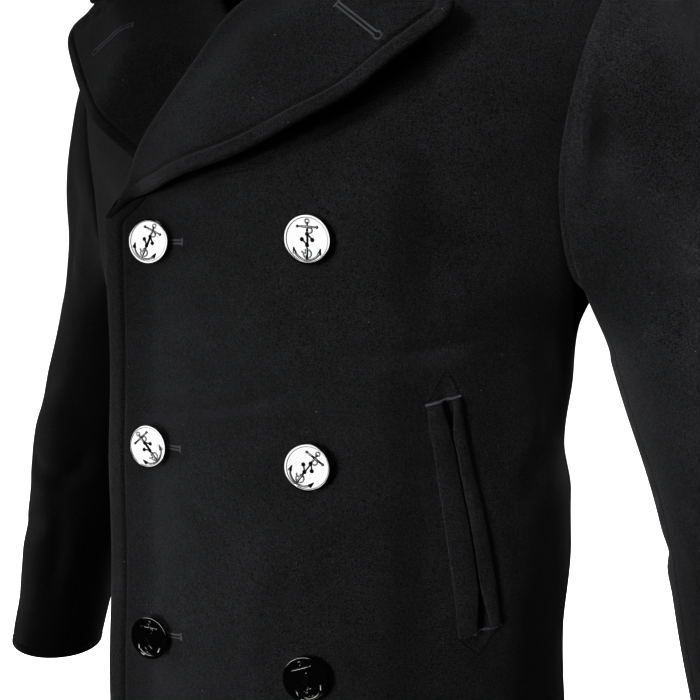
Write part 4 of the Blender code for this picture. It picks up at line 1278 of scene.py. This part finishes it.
# Outside of a sleeve for places down it: 0 to 1 from the armhole to the first ring, and 1 to 2 from
# there to the cuff
def sleevePoints(turns, down):
    def ring(share):
        rows = armTable(share * armLength)
        axis = unit(between(share * sleeve["armRows"], np.arange(len(armAxes)), armAxes))
        side = unit(np.cross(np.array([0.0, 1.0, 0.0]), -axis))
        fore = np.cross(axis, side)
        sine, cosine = np.sin(turns)[None, :, None], np.cos(turns)[None, :, None]
        across, deep = (rows[:, 3:4] * side)[:, None], (rows[:, 4:5] * fore)[:, None]
        return rows[:, None, :3] + sine * across + cosine * deep

    start, outward, share = armholePlaces(turns)
    first = ring(np.zeros(1))[0]
    low = share[:, None]
    run = np.linalg.norm(first - start, axis=1)[:, None]
    leave = unit(outward + armAxes[0] * (sleeve["capDrop"][0] + sleeve["capDrop"][1] * low))
    leave = leave * run * (sleeve["capLeave"] + sleeve["capPuff"] * (1.0 - low))
    arrive = armAxes[0] * run * (sleeve["capArrive"][0] - sleeve["capArrive"][1] * low)
    cap = hermite(np.clip(down, 0.0, 1.0)[:, None, None], start, leave, first, arrive)
    return np.where(down[:, None, None] <= 1.0, cap, ring(np.clip(down - 1.0, 0.0, 1.0)))


def sleeveRelief(turns, metresDown, isLeft):
    girth = sleeve["girth"]
    rows = turnedRows(sleeve["folds"][isLeft], girth)
    across, along = turns[None, :] * girth, metresDown[:, None]
    relief = sum(creases(across + turn * 2.0 * math.pi * girth, along, rows) for turn in (-1, 0, 1))
    depth, often, sway = sleeve["waves"]
    swayed = sway * np.sin(turns)[None, :] + sleeve["wavePhase"][isLeft]
    relief = relief + depth * np.sin(along * often + swayed)
    hemStart, hemFull, hemShare = sleeve["foldsOut"]
    calmed = 1.0 - hemShare * smoothStep(hemStart, hemFull, along)
    relief = relief * smoothStep(*sleeve["foldsIn"], along) * calmed
    facing = np.clip(np.cos(turns - math.radians(sleeve["hangTurn"])), 0.0, 1.0)[None, :]
    hang = smoothTable(sleeve["hang"][isLeft])(metresDown) * facing
    eased = smoothStep(*sleeve["easeIn"], along) * (1.0 - smoothStep(*sleeve["easeOut"], along))
    return relief + hang + sleeve["ease"] * np.clip(np.sin(turns), 0.0, 1.0)[None, :] * eased


def makeSleeve(node, part, isLeft):
    fromDegrees, toDegrees, columns, flat, area = sleeve["parts"][part]
    fromTurn, toTurn = math.radians(fromDegrees), math.radians(toDegrees)
    girth = (toTurn - fromTurn) * sleeve["girth"]
    half = body["cloth"] / 2.0
    turns = fromTurn + rowPlaces(girth, columns, half) / girth * (toTurn - fromTurn)
    total, under = sleeve["capLength"] + armLength, sleeve["allowance"]
    metres = rowPlaces(total + under, int(total / clothMesh["step"]), half, False, True) - under
    metres = np.sort(np.concatenate([metres, sleeve["edgeRows"]]))
    down = np.where(metres <= sleeve["capLength"], np.clip(metres, 0.0, None) / sleeve["capLength"],
                    1.0 + (metres - sleeve["capLength"]) / armLength)
    turn, step = sleeve["probe"]
    around = sleevePoints(turns + turn, down) - sleevePoints(turns - turn, down)
    further = sleevePoints(turns, down + step) - sleevePoints(turns, np.maximum(down - step, 0.0))
    inward = unit(np.cross(around, further)) * smoothStep(*sleeve["wallRun"], metres)[:, None, None]
    # the seam allowance goes in under the edge of the armhole
    allowance = armholePlaces(turns)[1] * np.minimum(metres, 0.0)[:, None, None]
    middle = sleevePoints(turns, down) + allowance + inward * body["cloth"] / 2.0
    ring = sleevePoints(np.linspace(0.0, 2.0 * math.pi, 25)[:-1], down)
    centre = sidedPoints(ring.mean(axis=1), isLeft)[:, None]
    relief = sleeveRelief(turns, metres, isLeft)
    piece = clothPiece(node, sidedPoints(middle, isLeft), body["cloth"], centre, relief, False, "top",
                       sleeve["hemInset"], sleeve["seams"])
    return finishCloth(piece, node, flat, area)


sleevePieces = {}
for side, isLeft in sides.items():
    for part in sleeve["parts"]:
        node = f"sleeve_{part}_{side}"
        sleevePieces[node] = makeSleeve(node, part, isLeft)
print("sleeves made")

# ---- pockets


def makePocketStrip(node, near, far, isLeft):
    half, width = pocket["thick"] / 2.0, abs(far - near)
    along = rowPlaces(pocketLength, pocket["rows"], half)[:, None]
    across = rowPlaces(width, pocket["columns"], half) * np.sign(far - near) + near
    share = np.abs(across / far)
    opened = across + np.sign(far) * mouthGape(along) * (1.0 - share)
    x, z = pocketPlace(along, opened)
    angle = angleAt(x, z)
    crown = pocket["crown"] * np.sin(math.pi * np.clip(share, 0.0, 1.0))
    lift = frontLift(angle, z, isLeft) + frontRelief(angle, z, isLeft)
    lift = lift + pocket["lift"] - half + crown
    piece = clothPiece(node, sidedPoints(lifted(angle, z, lift), isLeft), pocket["thick"])
    flatWidth = max(width * pocket["flatShare"], pocket["leastFlat"])
    finishCloth(piece, node, (flatWidth, pocketLength), None)


for side, isLeft in sides.items():
    makePocketStrip("pocket_welt_" + side, body["seam"] / 2.0, pocket["weltWidth"], isLeft)
    makePocketStrip("pocket_lip_" + side, -body["seam"] / 2.0, -pocket["lipWidth"], isLeft)
print("pockets made")

# ---- thread


def selectNothing():
    if bpy.context.object and bpy.context.object.mode != "OBJECT":
        bpy.ops.object.mode_set(mode="OBJECT")
    bpy.ops.object.select_all(action="DESELECT")


def activate(made):
    selectNothing()
    made.select_set(True)
    bpy.context.view_layer.objects.active = made


# Adds a primitive and lays its place and turn into its mesh
def addPrimitive(operator, **settings):
    selectNothing()
    operator(**settings)
    bpy.ops.object.transform_apply(location=True, rotation=True, scale=True)
    return bpy.context.object


# One short length of thread, rounded at both ends, as points and faces
def threadShape():
    bead = addPrimitive(bpy.ops.mesh.primitive_uv_sphere_add, segments=6, ring_count=5, radius=1.0,
                        rotation=(0.0, math.pi / 2.0, 0.0))
    points = np.array([v.co[:] for v in bead.data.vertices])
    blunt = 0.45
    points[:, 0] = np.sign(points[:, 0]) * np.abs(points[:, 0]) ** blunt
    faces = [list(p.vertices) for p in bead.data.polygons]
    bpy.data.objects.remove(bead, do_unlink=True)
    return points, faces


threadPoints, threadFaces = threadShape()


# Copies of that length of thread, each at a place, along a direction and lying on a normal
def sewThread(name, places, along, normals, length, radius, material, on):
    along = unit(along - normals * (along * normals).sum(1, keepdims=True))
    frames = np.stack([along, np.cross(normals, along), normals], axis=1)
    points = places[:, None] + (threadPoints * np.array([length / 2.0, radius, radius])) @ frames
    faces = [[index + k * len(threadPoints) for index in face]
             for k in range(len(places)) for face in threadFaces]
    finishDetail(meshObject(name, points.reshape(-1, 3), faces, material), on)


topstitch = {
    "pitch": 0.0040, "length": 0.0029, "radius": 0.00036, "sink": 0.00010,
    "clearOfBreak": 0.004,
}


# Where the outside of a piece is a given distance inside one of its edges
def insetLine(piece, side, inset):
    reach, outside, normal = piece["reach"][side], piece["outside"], piece["normal"]
    if side in ("foot", "top"):
        reach, outside, normal = reach.T, outside.transpose(1, 0, 2), normal.transpose(1, 0, 2)
    if side in ("end", "top"):
        reach, outside, normal = reach[:, ::-1], outside[:, ::-1], normal[:, ::-1]
    places, ups = [], []
    for away, row, up in zip(reach, outside, normal):
        beyond = np.nonzero(away > inset)[0]
        if len(beyond) == 0 or beyond[0] == 0:
            continue
        k = beyond[0]
        t = (inset - away[k - 1]) / (away[k] - away[k - 1])
        places.append(row[k - 1] + (row[k] - row[k - 1]) * t)
        ups.append(up[k])
    return np.array(places), np.array(ups)


def stitchAlong(name, places, ups, on, settings=topstitch):
    length = pathLengths(places)
    where = np.arange(settings["pitch"], length[-1] - settings["pitch"] / 2.0, settings["pitch"])
    centre, up = between(where, length, places), unit(between(where, length, ups))
    sewThread(name, centre - up * settings["sink"], np.gradient(centre, axis=0), up,
              settings["length"], settings["radius"], topThread, on)


for node, piece in frontPieces.items():
    places, ups = insetLine(piece, "start", panel["frontInset"])
    below = places[:, 2] < body["breakZ"] - topstitch["clearOfBreak"]
    stitchAlong(node + "_topstitch", places[below], ups[below], node)
for node, piece in lapelPieces.items():
    stitchAlong(node + "_topstitch", *insetLine(piece, "end", clothMesh["inset"]), node)
stitchAlong("collar_topstitch", *insetLine(leafPiece, "end", clothMesh["inset"]), "collar_leaf")
for node, piece in sleevePieces.items():
    stitchAlong(node + "_hem_stitch", *insetLine(piece, "top", sleeve["hemInset"]), node)
print("topstitching sewn")


# Place and normal on the outside of a front, under a point given from the front
def onFront(x, z, isLeft, above):
    angle = angleAt(x, z)
    lift = frontLift(angle, z, isLeft) + frontRelief(angle, z, isLeft)
    lift = lift + pocketSwell(angle, z) + above
    return sidedPoints(lifted(angle, z, lift), isLeft), sidedPoints(bodyNormal(angle, z), isLeft)


# The same on the flap of a lapel
def onLapel(x, z, isLeft, above):
    def place(xs, zs):
        angle = angleAt(xs, zs)
        lift = flapLift(angle, zs, isLeft) + lapelRelief(xs, zs, isLeft) + body["doubleCloth"] / 2.0
        return lifted(angle, zs, lift)

    step = keyhole["probe"]
    upward = place(x, z + step) - place(x, z - step)
    normal = unit(np.cross(upward, place(x - step, z) - place(x + step, z)))
    normal = normal * np.sign((normal * bodyNormal(angleAt(x, z), z)).sum(-1, keepdims=True))
    return sidedPoints(place(x, z) + normal * above, isLeft), sidedPoints(normal, isLeft)


keyhole = {
    "first": 0.0006,            # the first stitch from the bar
    "pitch": 0.00050,
    "bite": 0.0013,
    "wobble": (0.00008, 9100.0),
    "radius": 0.00030,
    "slit": 0.00042,
    "eyelet": 0.0014,
    "eyeletTurn": 2.45,
    "eyeletStitches": 17,
    "bar": 0.0044,
    "barStitches": 11,
    "barOut": 0.0003,
    "proud": 0.00012,
    "probe": 0.001,             # steps over which directions on the cloth are measured
    "ahead": (0.0006, 0.002),
    # radius of the painted shade in the slit and in the eyelet over the slit's half width, length of
    # the eyelet
    "slitRadius": 0.62,
    "eyeletRadius": 1.4,
    "eyeletLength": 1.7,
    # node, bar and eyelet, seen from the front
    "lapels": {
        "lapel_left": ((0.0754, -0.1198), (0.0986, -0.1379)),
        "lapel_right": ((0.0673, -0.1127), (0.0988, -0.1241)),
    },
    "frontLength": 0.0255,
}


# A keyhole buttonhole from its bar to its eyelet: purl stitches both sides, a ring round the eyelet
# and a bar. Under a button the eyelet is left out
def sewKeyhole(name, start, end, surface, isLeft, on, eyelet):
    start, end = np.array(start), np.array(end)
    length = float(np.linalg.norm(end - start))
    run = (end - start) / length
    across = np.array([-run[1], run[0]])
    flat, directions = [], []
    wobble, often = keyhole["wobble"]
    beside = keyhole["slit"] + keyhole["bite"] / 2.0
    for step in np.arange(keyhole["first"], length - keyhole["eyelet"] * eyelet, keyhole["pitch"]):
        for hand in (-1.0, 1.0):
            away = hand * (beside + wobble * math.sin(step * often + hand))
            flat.append(start + run * step + across * away)
            directions.append(across * hand)
    if eyelet:
        for turn in np.linspace(-1.0, 1.0, keyhole["eyeletStitches"]) * keyhole["eyeletTurn"]:
            ray = run * math.cos(turn) + across * math.sin(turn)
            flat.append(end + ray * (keyhole["eyelet"] + keyhole["bite"] / 2.0))
            directions.append(ray)
    for step in np.linspace(-0.5, 0.5, keyhole["barStitches"]) * keyhole["bar"]:
        flat.append(start + across * step - run * keyhole["barOut"])
        directions.append(run)
    flat, directions = np.array(flat), np.array(directions)
    places, ups = surface(*flat.T, isLeft, keyhole["proud"])
    ahead, _ = surface(*(flat + directions * keyhole["ahead"][0]).T, isLeft, keyhole["proud"])
    sewThread(name, places, ahead - places, ups, keyhole["bite"], keyhole["radius"], holeThread, on)
    # painted shade: a near-black strip in the slit that the stitches frame, and one in the eyelet,
    # where the opening lies in shadow
    slits = [((start + end) / 2.0, length, keyhole["slitRadius"])]
    if eyelet:
        slits.append((end, keyhole["eyelet"] * keyhole["eyeletLength"], keyhole["eyeletRadius"]))
    for index, (spot, size, radius) in enumerate(slits):
        ends = np.array([spot, spot + run * keyhole["ahead"][1]])
        places, ups = surface(*ends.T, isLeft, -keyhole["proud"])
        sewThread(f"{name}_slit_{index}", places[:1], places[1:] - places[:1], ups[:1], size,
                  keyhole["slit"] * radius, paintedSlitShade, on)


for side, isLeft in sides.items():
    node = "lapel_" + side
    sewKeyhole(node + "_buttonhole", *keyhole["lapels"][node], onLapel, isLeft, node, True)
for place in buttonPlaces():
    if place["x"] < 0.0:
        bar = (place["x"] + keyhole["frontLength"], place["z"] + place["holeDrop"])
        sewKeyhole(place["name"] + "_buttonhole", bar, (place["x"], place["z"]), onFront, True,
                   "front_left", False)
print("buttonholes sewn")

barTack = {
    "pitch": 0.00042,
    "length": 0.0019,
    "radius": 0.00030,
    "proud": 0.0013,
    "probe": 0.001,
    "past": 0.0006,             # beyond the end of the pocket
    "overWelt": 0.0006,
    "overLip": 0.0008,
    "bottomReach": 0.0045,
    "point": {"pitch": 0.0024, "length": 0.0021, "radius": 0.00040, "sink": -0.00005},
}


# Bar tacks close the two ends of each pocket, and stitched points lie beyond them
def sewPocketEnds(side, isLeft):
    welt, lip = pocket["weltWidth"] + barTack["overWelt"], pocket["lipWidth"] + barTack["overLip"]
    ends = (("top", 0.0, -1.0, welt), ("bottom", pocketLength, 1.0, barTack["bottomReach"]))
    for (end, along, sign, reach), tip in zip(ends, pocket["tips"]):
        flat = np.array([pocketPlace(along + sign * barTack["past"], step)
                         for step in np.arange(-lip, reach, barTack["pitch"])])
        places, ups = onFront(*flat.T, isLeft, barTack["proud"])
        ahead, _ = onFront(*(flat + pocketDown * barTack["probe"]).T, isLeft, barTack["proud"])
        sewThread(f"pocket_bar_{end}_{side}", places, ahead - places, ups, barTack["length"],
                  barTack["radius"], holeThread, "front_" + side)
        path = np.array([pocketPlace(along, welt), tip, pocketPlace(along, -lip)])
        path = resampled(path, barTack["probe"])
        stitchAlong(f"pocket_point_{end}_{side}", *onFront(*path.T, isLeft, 0.0), "front_" + side,
                    barTack["point"])


for side, isLeft in sides.items():
    sewPocketEnds(side, isLeft)
print("pocket ends sewn")

# ---- buttons

button = {
    "sides": 96,
    "rim": 0.0011,
    "rimRound": (0.00055, 4),
    "foot": 0.86,               # the underside is turned this much narrower than the face
    "step": 0.00035,
    "dish": 0.00022,
    "dishWidth": 0.0070,
    "dishSteps": (0.30, 0.42, 0.28),
    "holeRadius": 0.00130,
    "holeReach": 0.0033,
    "holeDepth": 0.020,
    "smooth": math.radians(35.0),
    # node, turn of the anchor in degrees, seen from the front and against the clock
    "turns": {
        "button_top_right": -25.5, "button_middle_right": 41.5, "button_bottom_right": 0.0,
        "button_top_left": -4.0, "button_middle_left": -35.5, "button_bottom_left": 21.5,
    },
}

# A plain anchor. Millimetres from the middle of the button, +y towards its ring
anchor = {
    "ring": (0.0, 10.9, 1.25, 0.42, 0.0, 350.0),
    # each bar: half thickness, and the share of it that is left at the far end
    "stockY": 7.6, "stockHalf": 6.2, "stockBar": (0.496, 1.5),
    "shankGap": 4.7, "shankTop": 9.9, "shankBar": (0.66, 0.85),
    "shankFoot": -11.9, "footBar": (0.759, 0.95),
    "stockBall": 0.90, "shankBall": (9.7, 0.80),
    "armsY": -3.0, "armsRadius": 9.2, "armsBar": 0.66, "armsSweep": 64.0,
    # from and to, off the end of an arm: out and up
    "fluke": (-0.5, -1.5, 0.35, 2.2), "flukeBar": (1.5, 0.08),
    "ropeBar": 0.46,
    # rope: centre x, centre y, radius, from and to bearing in degrees
    "rope": (
        (0.2, -8.4, 2.5, -230.0, 95.0), (-1.9, -6.3, 1.7, 20.0, 200.0), (1.5, 5.5, 1.6, 120.0, 330.0),
    ),
    "height": 0.80,
    "sunk": 0.4,                # share of the dish at which the anchor lies
    "arcStep": 9.0,             # degrees
    "bevel": 0.3,
}

buttonThread = {
    "bar": 0.24,                # millimetres
    "beside": 0.42,             # the second thread of each pair, in millimetres
    "proud": 0.00022,
    "crossing": 0.0003,
    "holeRadius": 0.0006,
    "holeDepth": 0.0036,
    "holeMiddle": 0.0020,
    # the wound post under the button
    "turns": 5,
    "turnPitch": 0.0007,
    "turnTop": 0.0001,
    "turnRadius": 0.0016,
    "strand": 0.00042,
}
mm = 0.001


# Selects faces by a test on their middle and normal, and leaves the mesh in edit mode
def pickFaces(made, test):
    activate(made)
    bpy.ops.object.mode_set(mode="EDIT")
    bpy.ops.mesh.select_mode(type="FACE")
    bpy.ops.mesh.select_all(action="DESELECT")
    bpy.ops.object.mode_set(mode="OBJECT")
    for face in made.data.polygons:
        face.select = bool(test(face.center, face.normal))
    bpy.ops.object.mode_set(mode="EDIT")


def joinAll(parts, name):
    activate(parts[0])
    for part in parts:
        part.select_set(True)
    bpy.ops.object.join()
    joined = bpy.context.object
    joined.name = joined.data.name = name
    return joined


# A rounded bar along an arc in the face of the button, closed at both ends
def arcBar(centreX, centreY, radius, bar, fromBearing, toBearing):
    start = math.radians(fromBearing)
    x, y = centreX + radius * math.cos(start), centreY + radius * math.sin(start)
    made = addPrimitive(bpy.ops.mesh.primitive_circle_add, vertices=10, radius=bar * mm,
                        fill_type="NGON", location=(x * mm, y * mm, 0.0),
                        rotation=(math.pi / 2.0, 0.0, start))
    bpy.ops.object.mode_set(mode="EDIT")
    bpy.ops.mesh.select_all(action="SELECT")
    steps = max(6, int(abs(toBearing - fromBearing) / anchor["arcStep"]))
    bpy.ops.mesh.spin(steps=steps, angle=math.radians(toBearing - fromBearing),
                      center=(centreX * mm, centreY * mm, 0.0), axis=(0.0, 0.0, 1.0))
    bpy.ops.mesh.select_all(action="SELECT")
    bpy.ops.mesh.remove_doubles(threshold=0.000001)
    bpy.ops.mesh.select_all(action="SELECT")
    bpy.ops.mesh.fill_holes(sides=0)
    bpy.ops.mesh.select_all(action="SELECT")
    bpy.ops.mesh.normals_make_consistent(inside=False)
    bpy.ops.object.mode_set(mode="OBJECT")
    return made


# A straight bar with bevelled ends between two places in the face of the button
def straightBar(fromX, fromY, toX, toY, bar, taper):
    run = Vector((toX - fromX, toY - fromY, 0.0)) * mm
    middle = Vector((fromX + toX, fromY + toY, 0.0)) * mm / 2.0
    made = addPrimitive(bpy.ops.mesh.primitive_cone_add, vertices=12, radius1=bar * mm,
                        radius2=bar * taper * mm, depth=run.length)
    bpy.ops.object.mode_set(mode="EDIT")
    bpy.ops.mesh.select_all(action="SELECT")
    bpy.ops.mesh.bevel(offset=bar * anchor["bevel"] * mm, segments=2)
    bpy.ops.object.mode_set(mode="OBJECT")
    made.data.transform(Matrix.Translation(middle) @ run.to_track_quat("Z", "Y").to_matrix().to_4x4())
    return made


def ball(x, y, radius):
    return addPrimitive(bpy.ops.mesh.primitive_uv_sphere_add, segments=14, ring_count=8,
                        radius=radius * mm, location=(x * mm, y * mm, 0.0))


def makeAnchor():
    stockY, half, gap = anchor["stockY"], anchor["stockHalf"], anchor["shankGap"]
    parts = [
        arcBar(*anchor["ring"]),
        straightBar(-half, stockY, 0.0, stockY, *anchor["stockBar"]),
        straightBar(half, stockY, 0.0, stockY, *anchor["stockBar"]),
        straightBar(0.0, anchor["shankFoot"], 0.0, -gap, *anchor["footBar"]),
        straightBar(0.0, gap, 0.0, anchor["shankTop"], *anchor["shankBar"]),
        ball(-half, stockY, anchor["stockBall"]),
        ball(half, stockY, anchor["stockBall"]),
        ball(0.0, *anchor["shankBall"]),
    ]
    radius = anchor["armsRadius"]
    outFrom, upFrom, outTo, upTo = anchor["fluke"]
    for hand in (-1.0, 1.0):
        bearing = -90.0 + hand * anchor["armsSweep"]
        parts.append(arcBar(0.0, anchor["armsY"], radius, anchor["armsBar"], -90.0, bearing))
        tip = math.radians(bearing)
        x, y = radius * math.cos(tip), anchor["armsY"] + radius * math.sin(tip)
        # each fluke is a flat spade that points up and out from the end of its arm
        parts.append(straightBar(x + hand * outFrom, y + upFrom, x + hand * outTo, y + upTo,
                                 *anchor["flukeBar"]))
    for x, y, radius, fromBearing, toBearing in anchor["rope"]:
        parts.append(arcBar(x, y, radius, anchor["ropeBar"], fromBearing, toBearing))
    made = joinAll(parts, "anchor")
    made.data.transform(Matrix.Diagonal((1.0, 1.0, anchor["height"], 1.0)))
    return made


def makeButtonDisc():
    thick = buttonCut["thick"]
    disc = addPrimitive(bpy.ops.mesh.primitive_cylinder_add, vertices=button["sides"],
                        end_fill_type="NGON", radius=buttonCut["radius"], depth=thick,
                        location=(0.0, 0.0, thick / 2.0))
    pickFaces(disc, lambda centre, normal: normal.z < -0.9)
    bpy.ops.transform.resize(value=(button["foot"], button["foot"], 1.0))
    pickFaces(disc, lambda centre, normal: normal.z > 0.9)
    width, segments = button["rimRound"]
    bpy.ops.mesh.bevel(offset=width, segments=segments, affect="EDGES")
    pickFaces(disc, lambda centre, normal: normal.z > 0.99 and centre.xy.length < 0.001)
    bpy.ops.mesh.inset(thickness=button["rim"], depth=0.0)
    bpy.ops.mesh.inset(thickness=button["step"], depth=-button["step"])
    for share in button["dishSteps"]:
        bpy.ops.mesh.inset(thickness=button["dishWidth"] * share, depth=-button["dish"] * share)
    bpy.ops.object.mode_set(mode="OBJECT")
    return disc


# x and y of the four holes
def holeSpots():
    return [(button["holeReach"] * math.cos(bearing), button["holeReach"] * math.sin(bearing))
            for bearing in (0.0, math.pi / 2.0, math.pi, math.pi * 1.5)]


def cutHoles(disc):
    cutter = joinAll([
        addPrimitive(bpy.ops.mesh.primitive_cylinder_add, vertices=20, radius=button["holeRadius"],
                     depth=button["holeDepth"], location=(x, y, 0.0))
        for x, y in holeSpots()
    ], "hole_cutter")
    cut = disc.modifiers.new("Holes", "BOOLEAN")
    cut.operation = "DIFFERENCE"
    cut.object = cutter
    activate(disc)
    bpy.ops.object.modifier_apply(modifier=cut.name)
    bpy.data.objects.remove(cutter, do_unlink=True)


# Thread over the face from hole to hole, and a wound post under the button
def makeButtonThread():
    made, parts = buttonThread, []
    spots = [(x / mm, y / mm) for x, y in holeSpots()]
    top = buttonCut["thick"] - button["step"] - button["dish"] + made["proud"]
    side = made["beside"]
    pairs = ((1, 0, 0.0), (2, 3, 0.0), (1, 0, side), (2, 3, side), (1, 3, 0.0), (1, 3, side))
    for first, second, shift in pairs:
        (x0, y0), (x1, y1) = spots[first], spots[second]
        bar = straightBar(x0 + shift, y0, x1 + shift, y1, made["bar"], 1.0)
        crossing = made["crossing"] if (first, second) == (1, 3) else 0.0
        bar.data.transform(Matrix.Translation((0.0, 0.0, top + crossing)))
        parts.append(bar)
    for x, y in holeSpots():
        parts.append(addPrimitive(
            bpy.ops.mesh.primitive_cylinder_add, vertices=12, radius=made["holeRadius"],
            depth=made["holeDepth"], location=(x, y, made["holeMiddle"])))
    for turn in range(made["turns"]):
        parts.append(addPrimitive(
            bpy.ops.mesh.primitive_torus_add, major_radius=made["turnRadius"],
            minor_radius=made["strand"], major_segments=20, minor_segments=8,
            location=(0.0, 0.0, made["turnTop"] - made["turnPitch"] * turn)))
    return joinAll(parts, "button_thread")


# Place of a button: it rests on the highest cloth under it, tipped towards the wearer's left
def buttonSeat(x, z, tip):
    radius = buttonCut["radius"]
    reach = np.linspace(-radius, radius, 5)
    xs, zs = np.meshgrid(x + reach, z + reach)
    angles = angleAt(xs, zs)
    cloth = lifted(angles, zs, frontLift(angles, zs))
    right = unit(cloth[:, -1].mean(axis=0) - cloth[:, 0].mean(axis=0))
    out = unit(np.cross(right, cloth[-1].mean(axis=0) - cloth[0].mean(axis=0)))
    up = np.cross(out, right)
    tipped = out * math.cos(tip) + right * math.sin(tip)
    middle = cloth[2, 2]
    under = np.hypot(xs - x, zs - z) <= radius * 1.02
    rise = ((cloth - middle) @ tipped)[under].max() + buttonCut["gap"]
    seat = np.eye(4)
    seat[:3] = np.column_stack([np.cross(up, tipped), up, tipped, middle + tipped * rise])
    return Matrix(seat.tolist())


def copyTo(shape, name, place, material):
    mesh = shape.data.copy()
    mesh.transform(place)
    mesh.name = name
    mesh.materials.clear()
    mesh.materials.append(material)
    made = placeNew(name, mesh)
    activate(made)
    bpy.ops.object.shade_smooth_by_angle(angle=button["smooth"])
    return made


disc = makeButtonDisc()
cutHoles(disc)
moulded = makeAnchor()
faceHeight = buttonCut["thick"] - button["step"] - button["dish"] * anchor["sunk"]
moulded.data.transform(Matrix.Translation((0.0, 0.0, faceHeight)))
buttonShape = joinAll([disc, moulded], "button_shape")
threadOnButton = makeButtonThread()
for place in buttonPlaces():
    name = place["name"]
    seat = buttonSeat(place["x"], place["z"], place["tip"])
    seat = seat @ Matrix.Rotation(math.radians(button["turns"][name]), 4, "Z")
    made = copyTo(buttonShape, name + "_polished", seat, buttonPlastic)
    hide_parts(name)
    finishDetail(made)
    finishDetail(copyTo(threadOnButton, name + "_thread", seat, topThread))
for shape in (buttonShape, threadOnButton):
    bpy.data.objects.remove(shape, do_unlink=True)
print("buttons made")

# ---- floor, light and camera

studio = {
    "floorZ": -1.25,
    "floorHalf": 14.0,
    "worldSeen": 1.0,
    "worldLight": 0.02,
    "floorGlow": 0.95,
    # name, place, aim, width, height, watts, spread of the beam in degrees, what it lights
    "lamps": (
        ("front softbox",
         (-0.425, -1.60, -0.49), (-0.425, 0.0, -0.49), 1.25, 0.82, 34.0, 180.0, "gloss"),
        ("low gridded softbox",
         (-0.425, -1.60, -0.49), (0.12, -0.14, -0.50), 0.50, 0.50, 2.60, 33.0, "cloth"),
        ("high gridded softbox",
         (-0.30, -1.50, 0.30), (0.27, -0.06, -0.18), 0.36, 0.36, 1.05, 20.0, "cloth"),
        ("sleeve softbox",
         (1.15, -1.00, 0.60), (0.39, -0.01, -0.09), 0.30, 0.30, 0.45, 17.0, "cloth"),
        ("top softbox",
         (0.10, -1.20, 1.00), (0.15, -0.14, -0.60), 0.70, 0.70, 0.75, 40.0, "all"),
        ("right softbox",
         (1.00, -0.45, 1.10), (0.36, 0.02, -0.06), 0.40, 0.40, 0.6, 24.0, "all"),
        ("left softbox",
         (-1.60, -0.30, -0.30), (-0.30, 0.00, -0.40), 0.60, 0.80, 5.0, 50.0, "cloth"),
        ("back softbox",
         (0.0, 1.90, 0.60), (0.0, 0.1, -0.35), 1.40, 1.20, 70.0, 180.0, "all"),
    ),
}

floor = addPrimitive(bpy.ops.mesh.primitive_plane_add, size=2.0 * studio["floorHalf"],
                     location=(0.0, 0.0, studio["floorZ"]))
floor.name = "floor"
floor.visible_glossy = floor.visible_diffuse = False
floor.data.materials.append(plainMaterial("matte white floor", {
    "Base Color": linear("#f2f2f2"), "Roughness": 0.9,
    "Emission Color": linear("#ffffff"), "Emission Strength": studio["floorGlow"],
}))

world = bpy.data.worlds.new("studio")
bpy.context.scene.world = world
world.use_nodes = True
tree = world.node_tree
seen = addNode(tree, "LightPath", {}).outputs["Is Camera Ray"]
brightness = mapped(tree, seen, 0.0, 1.0, studio["worldLight"], studio["worldSeen"])
setInputs(tree, tree.nodes["Background"], {"Strength": brightness, "Color": (1.0, 1.0, 1.0, 1.0)})

for name, place, aim, width, height, watts, spread, lights in studio["lamps"]:
    light = bpy.data.lights.new(name, "AREA")
    light.shape = "RECTANGLE"
    light.size, light.size_y, light.energy, light.spread = width, height, watts, math.radians(spread)
    lamp = placeNew(name, light)
    lamp.visible_diffuse, lamp.visible_glossy = lights != "gloss", lights != "cloth"
    lamp.location = place
    lamp.rotation_euler = (Vector(aim) - Vector(place)).to_track_quat("-Z", "Y").to_euler()

# place in metres, turns in degrees
view = {
    "lens": 37.03, "sensor": 36.0, "nearest": 0.02,
    "place": (0.2797, -0.5245, -0.2787), "yaw": 26.8, "pitch": 4.4, "roll": 1.2,
}
camera = bpy.data.cameras.new("camera")
camera.lens, camera.sensor_width, camera.clip_start = view["lens"], view["sensor"], view["nearest"]
eye = placeNew("camera", camera)
yaw, pitch, roll = (math.radians(view[key]) for key in ("yaw", "pitch", "roll"))
level = Vector((-math.sin(yaw), math.cos(yaw), 0.0))
forward = level * math.cos(pitch) - Vector((0.0, 0.0, math.sin(pitch)))
right = Vector((math.cos(yaw), math.sin(yaw), 0.0))
up = right.cross(forward)
tiltedRight = math.cos(roll) * right + math.sin(roll) * up
tiltedUp = -math.sin(roll) * right + math.cos(roll) * up
rows = [(tiltedRight[k], tiltedUp[k], -forward[k], view["place"][k]) for k in range(3)]
eye.matrix_world = Matrix(rows + [(0.0, 0.0, 0.0, 1.0)])
bpy.context.scene.camera = eye
bpy.context.scene.view_settings.view_transform = "Standard"
bpy.context.scene.view_settings.look = "High Contrast"
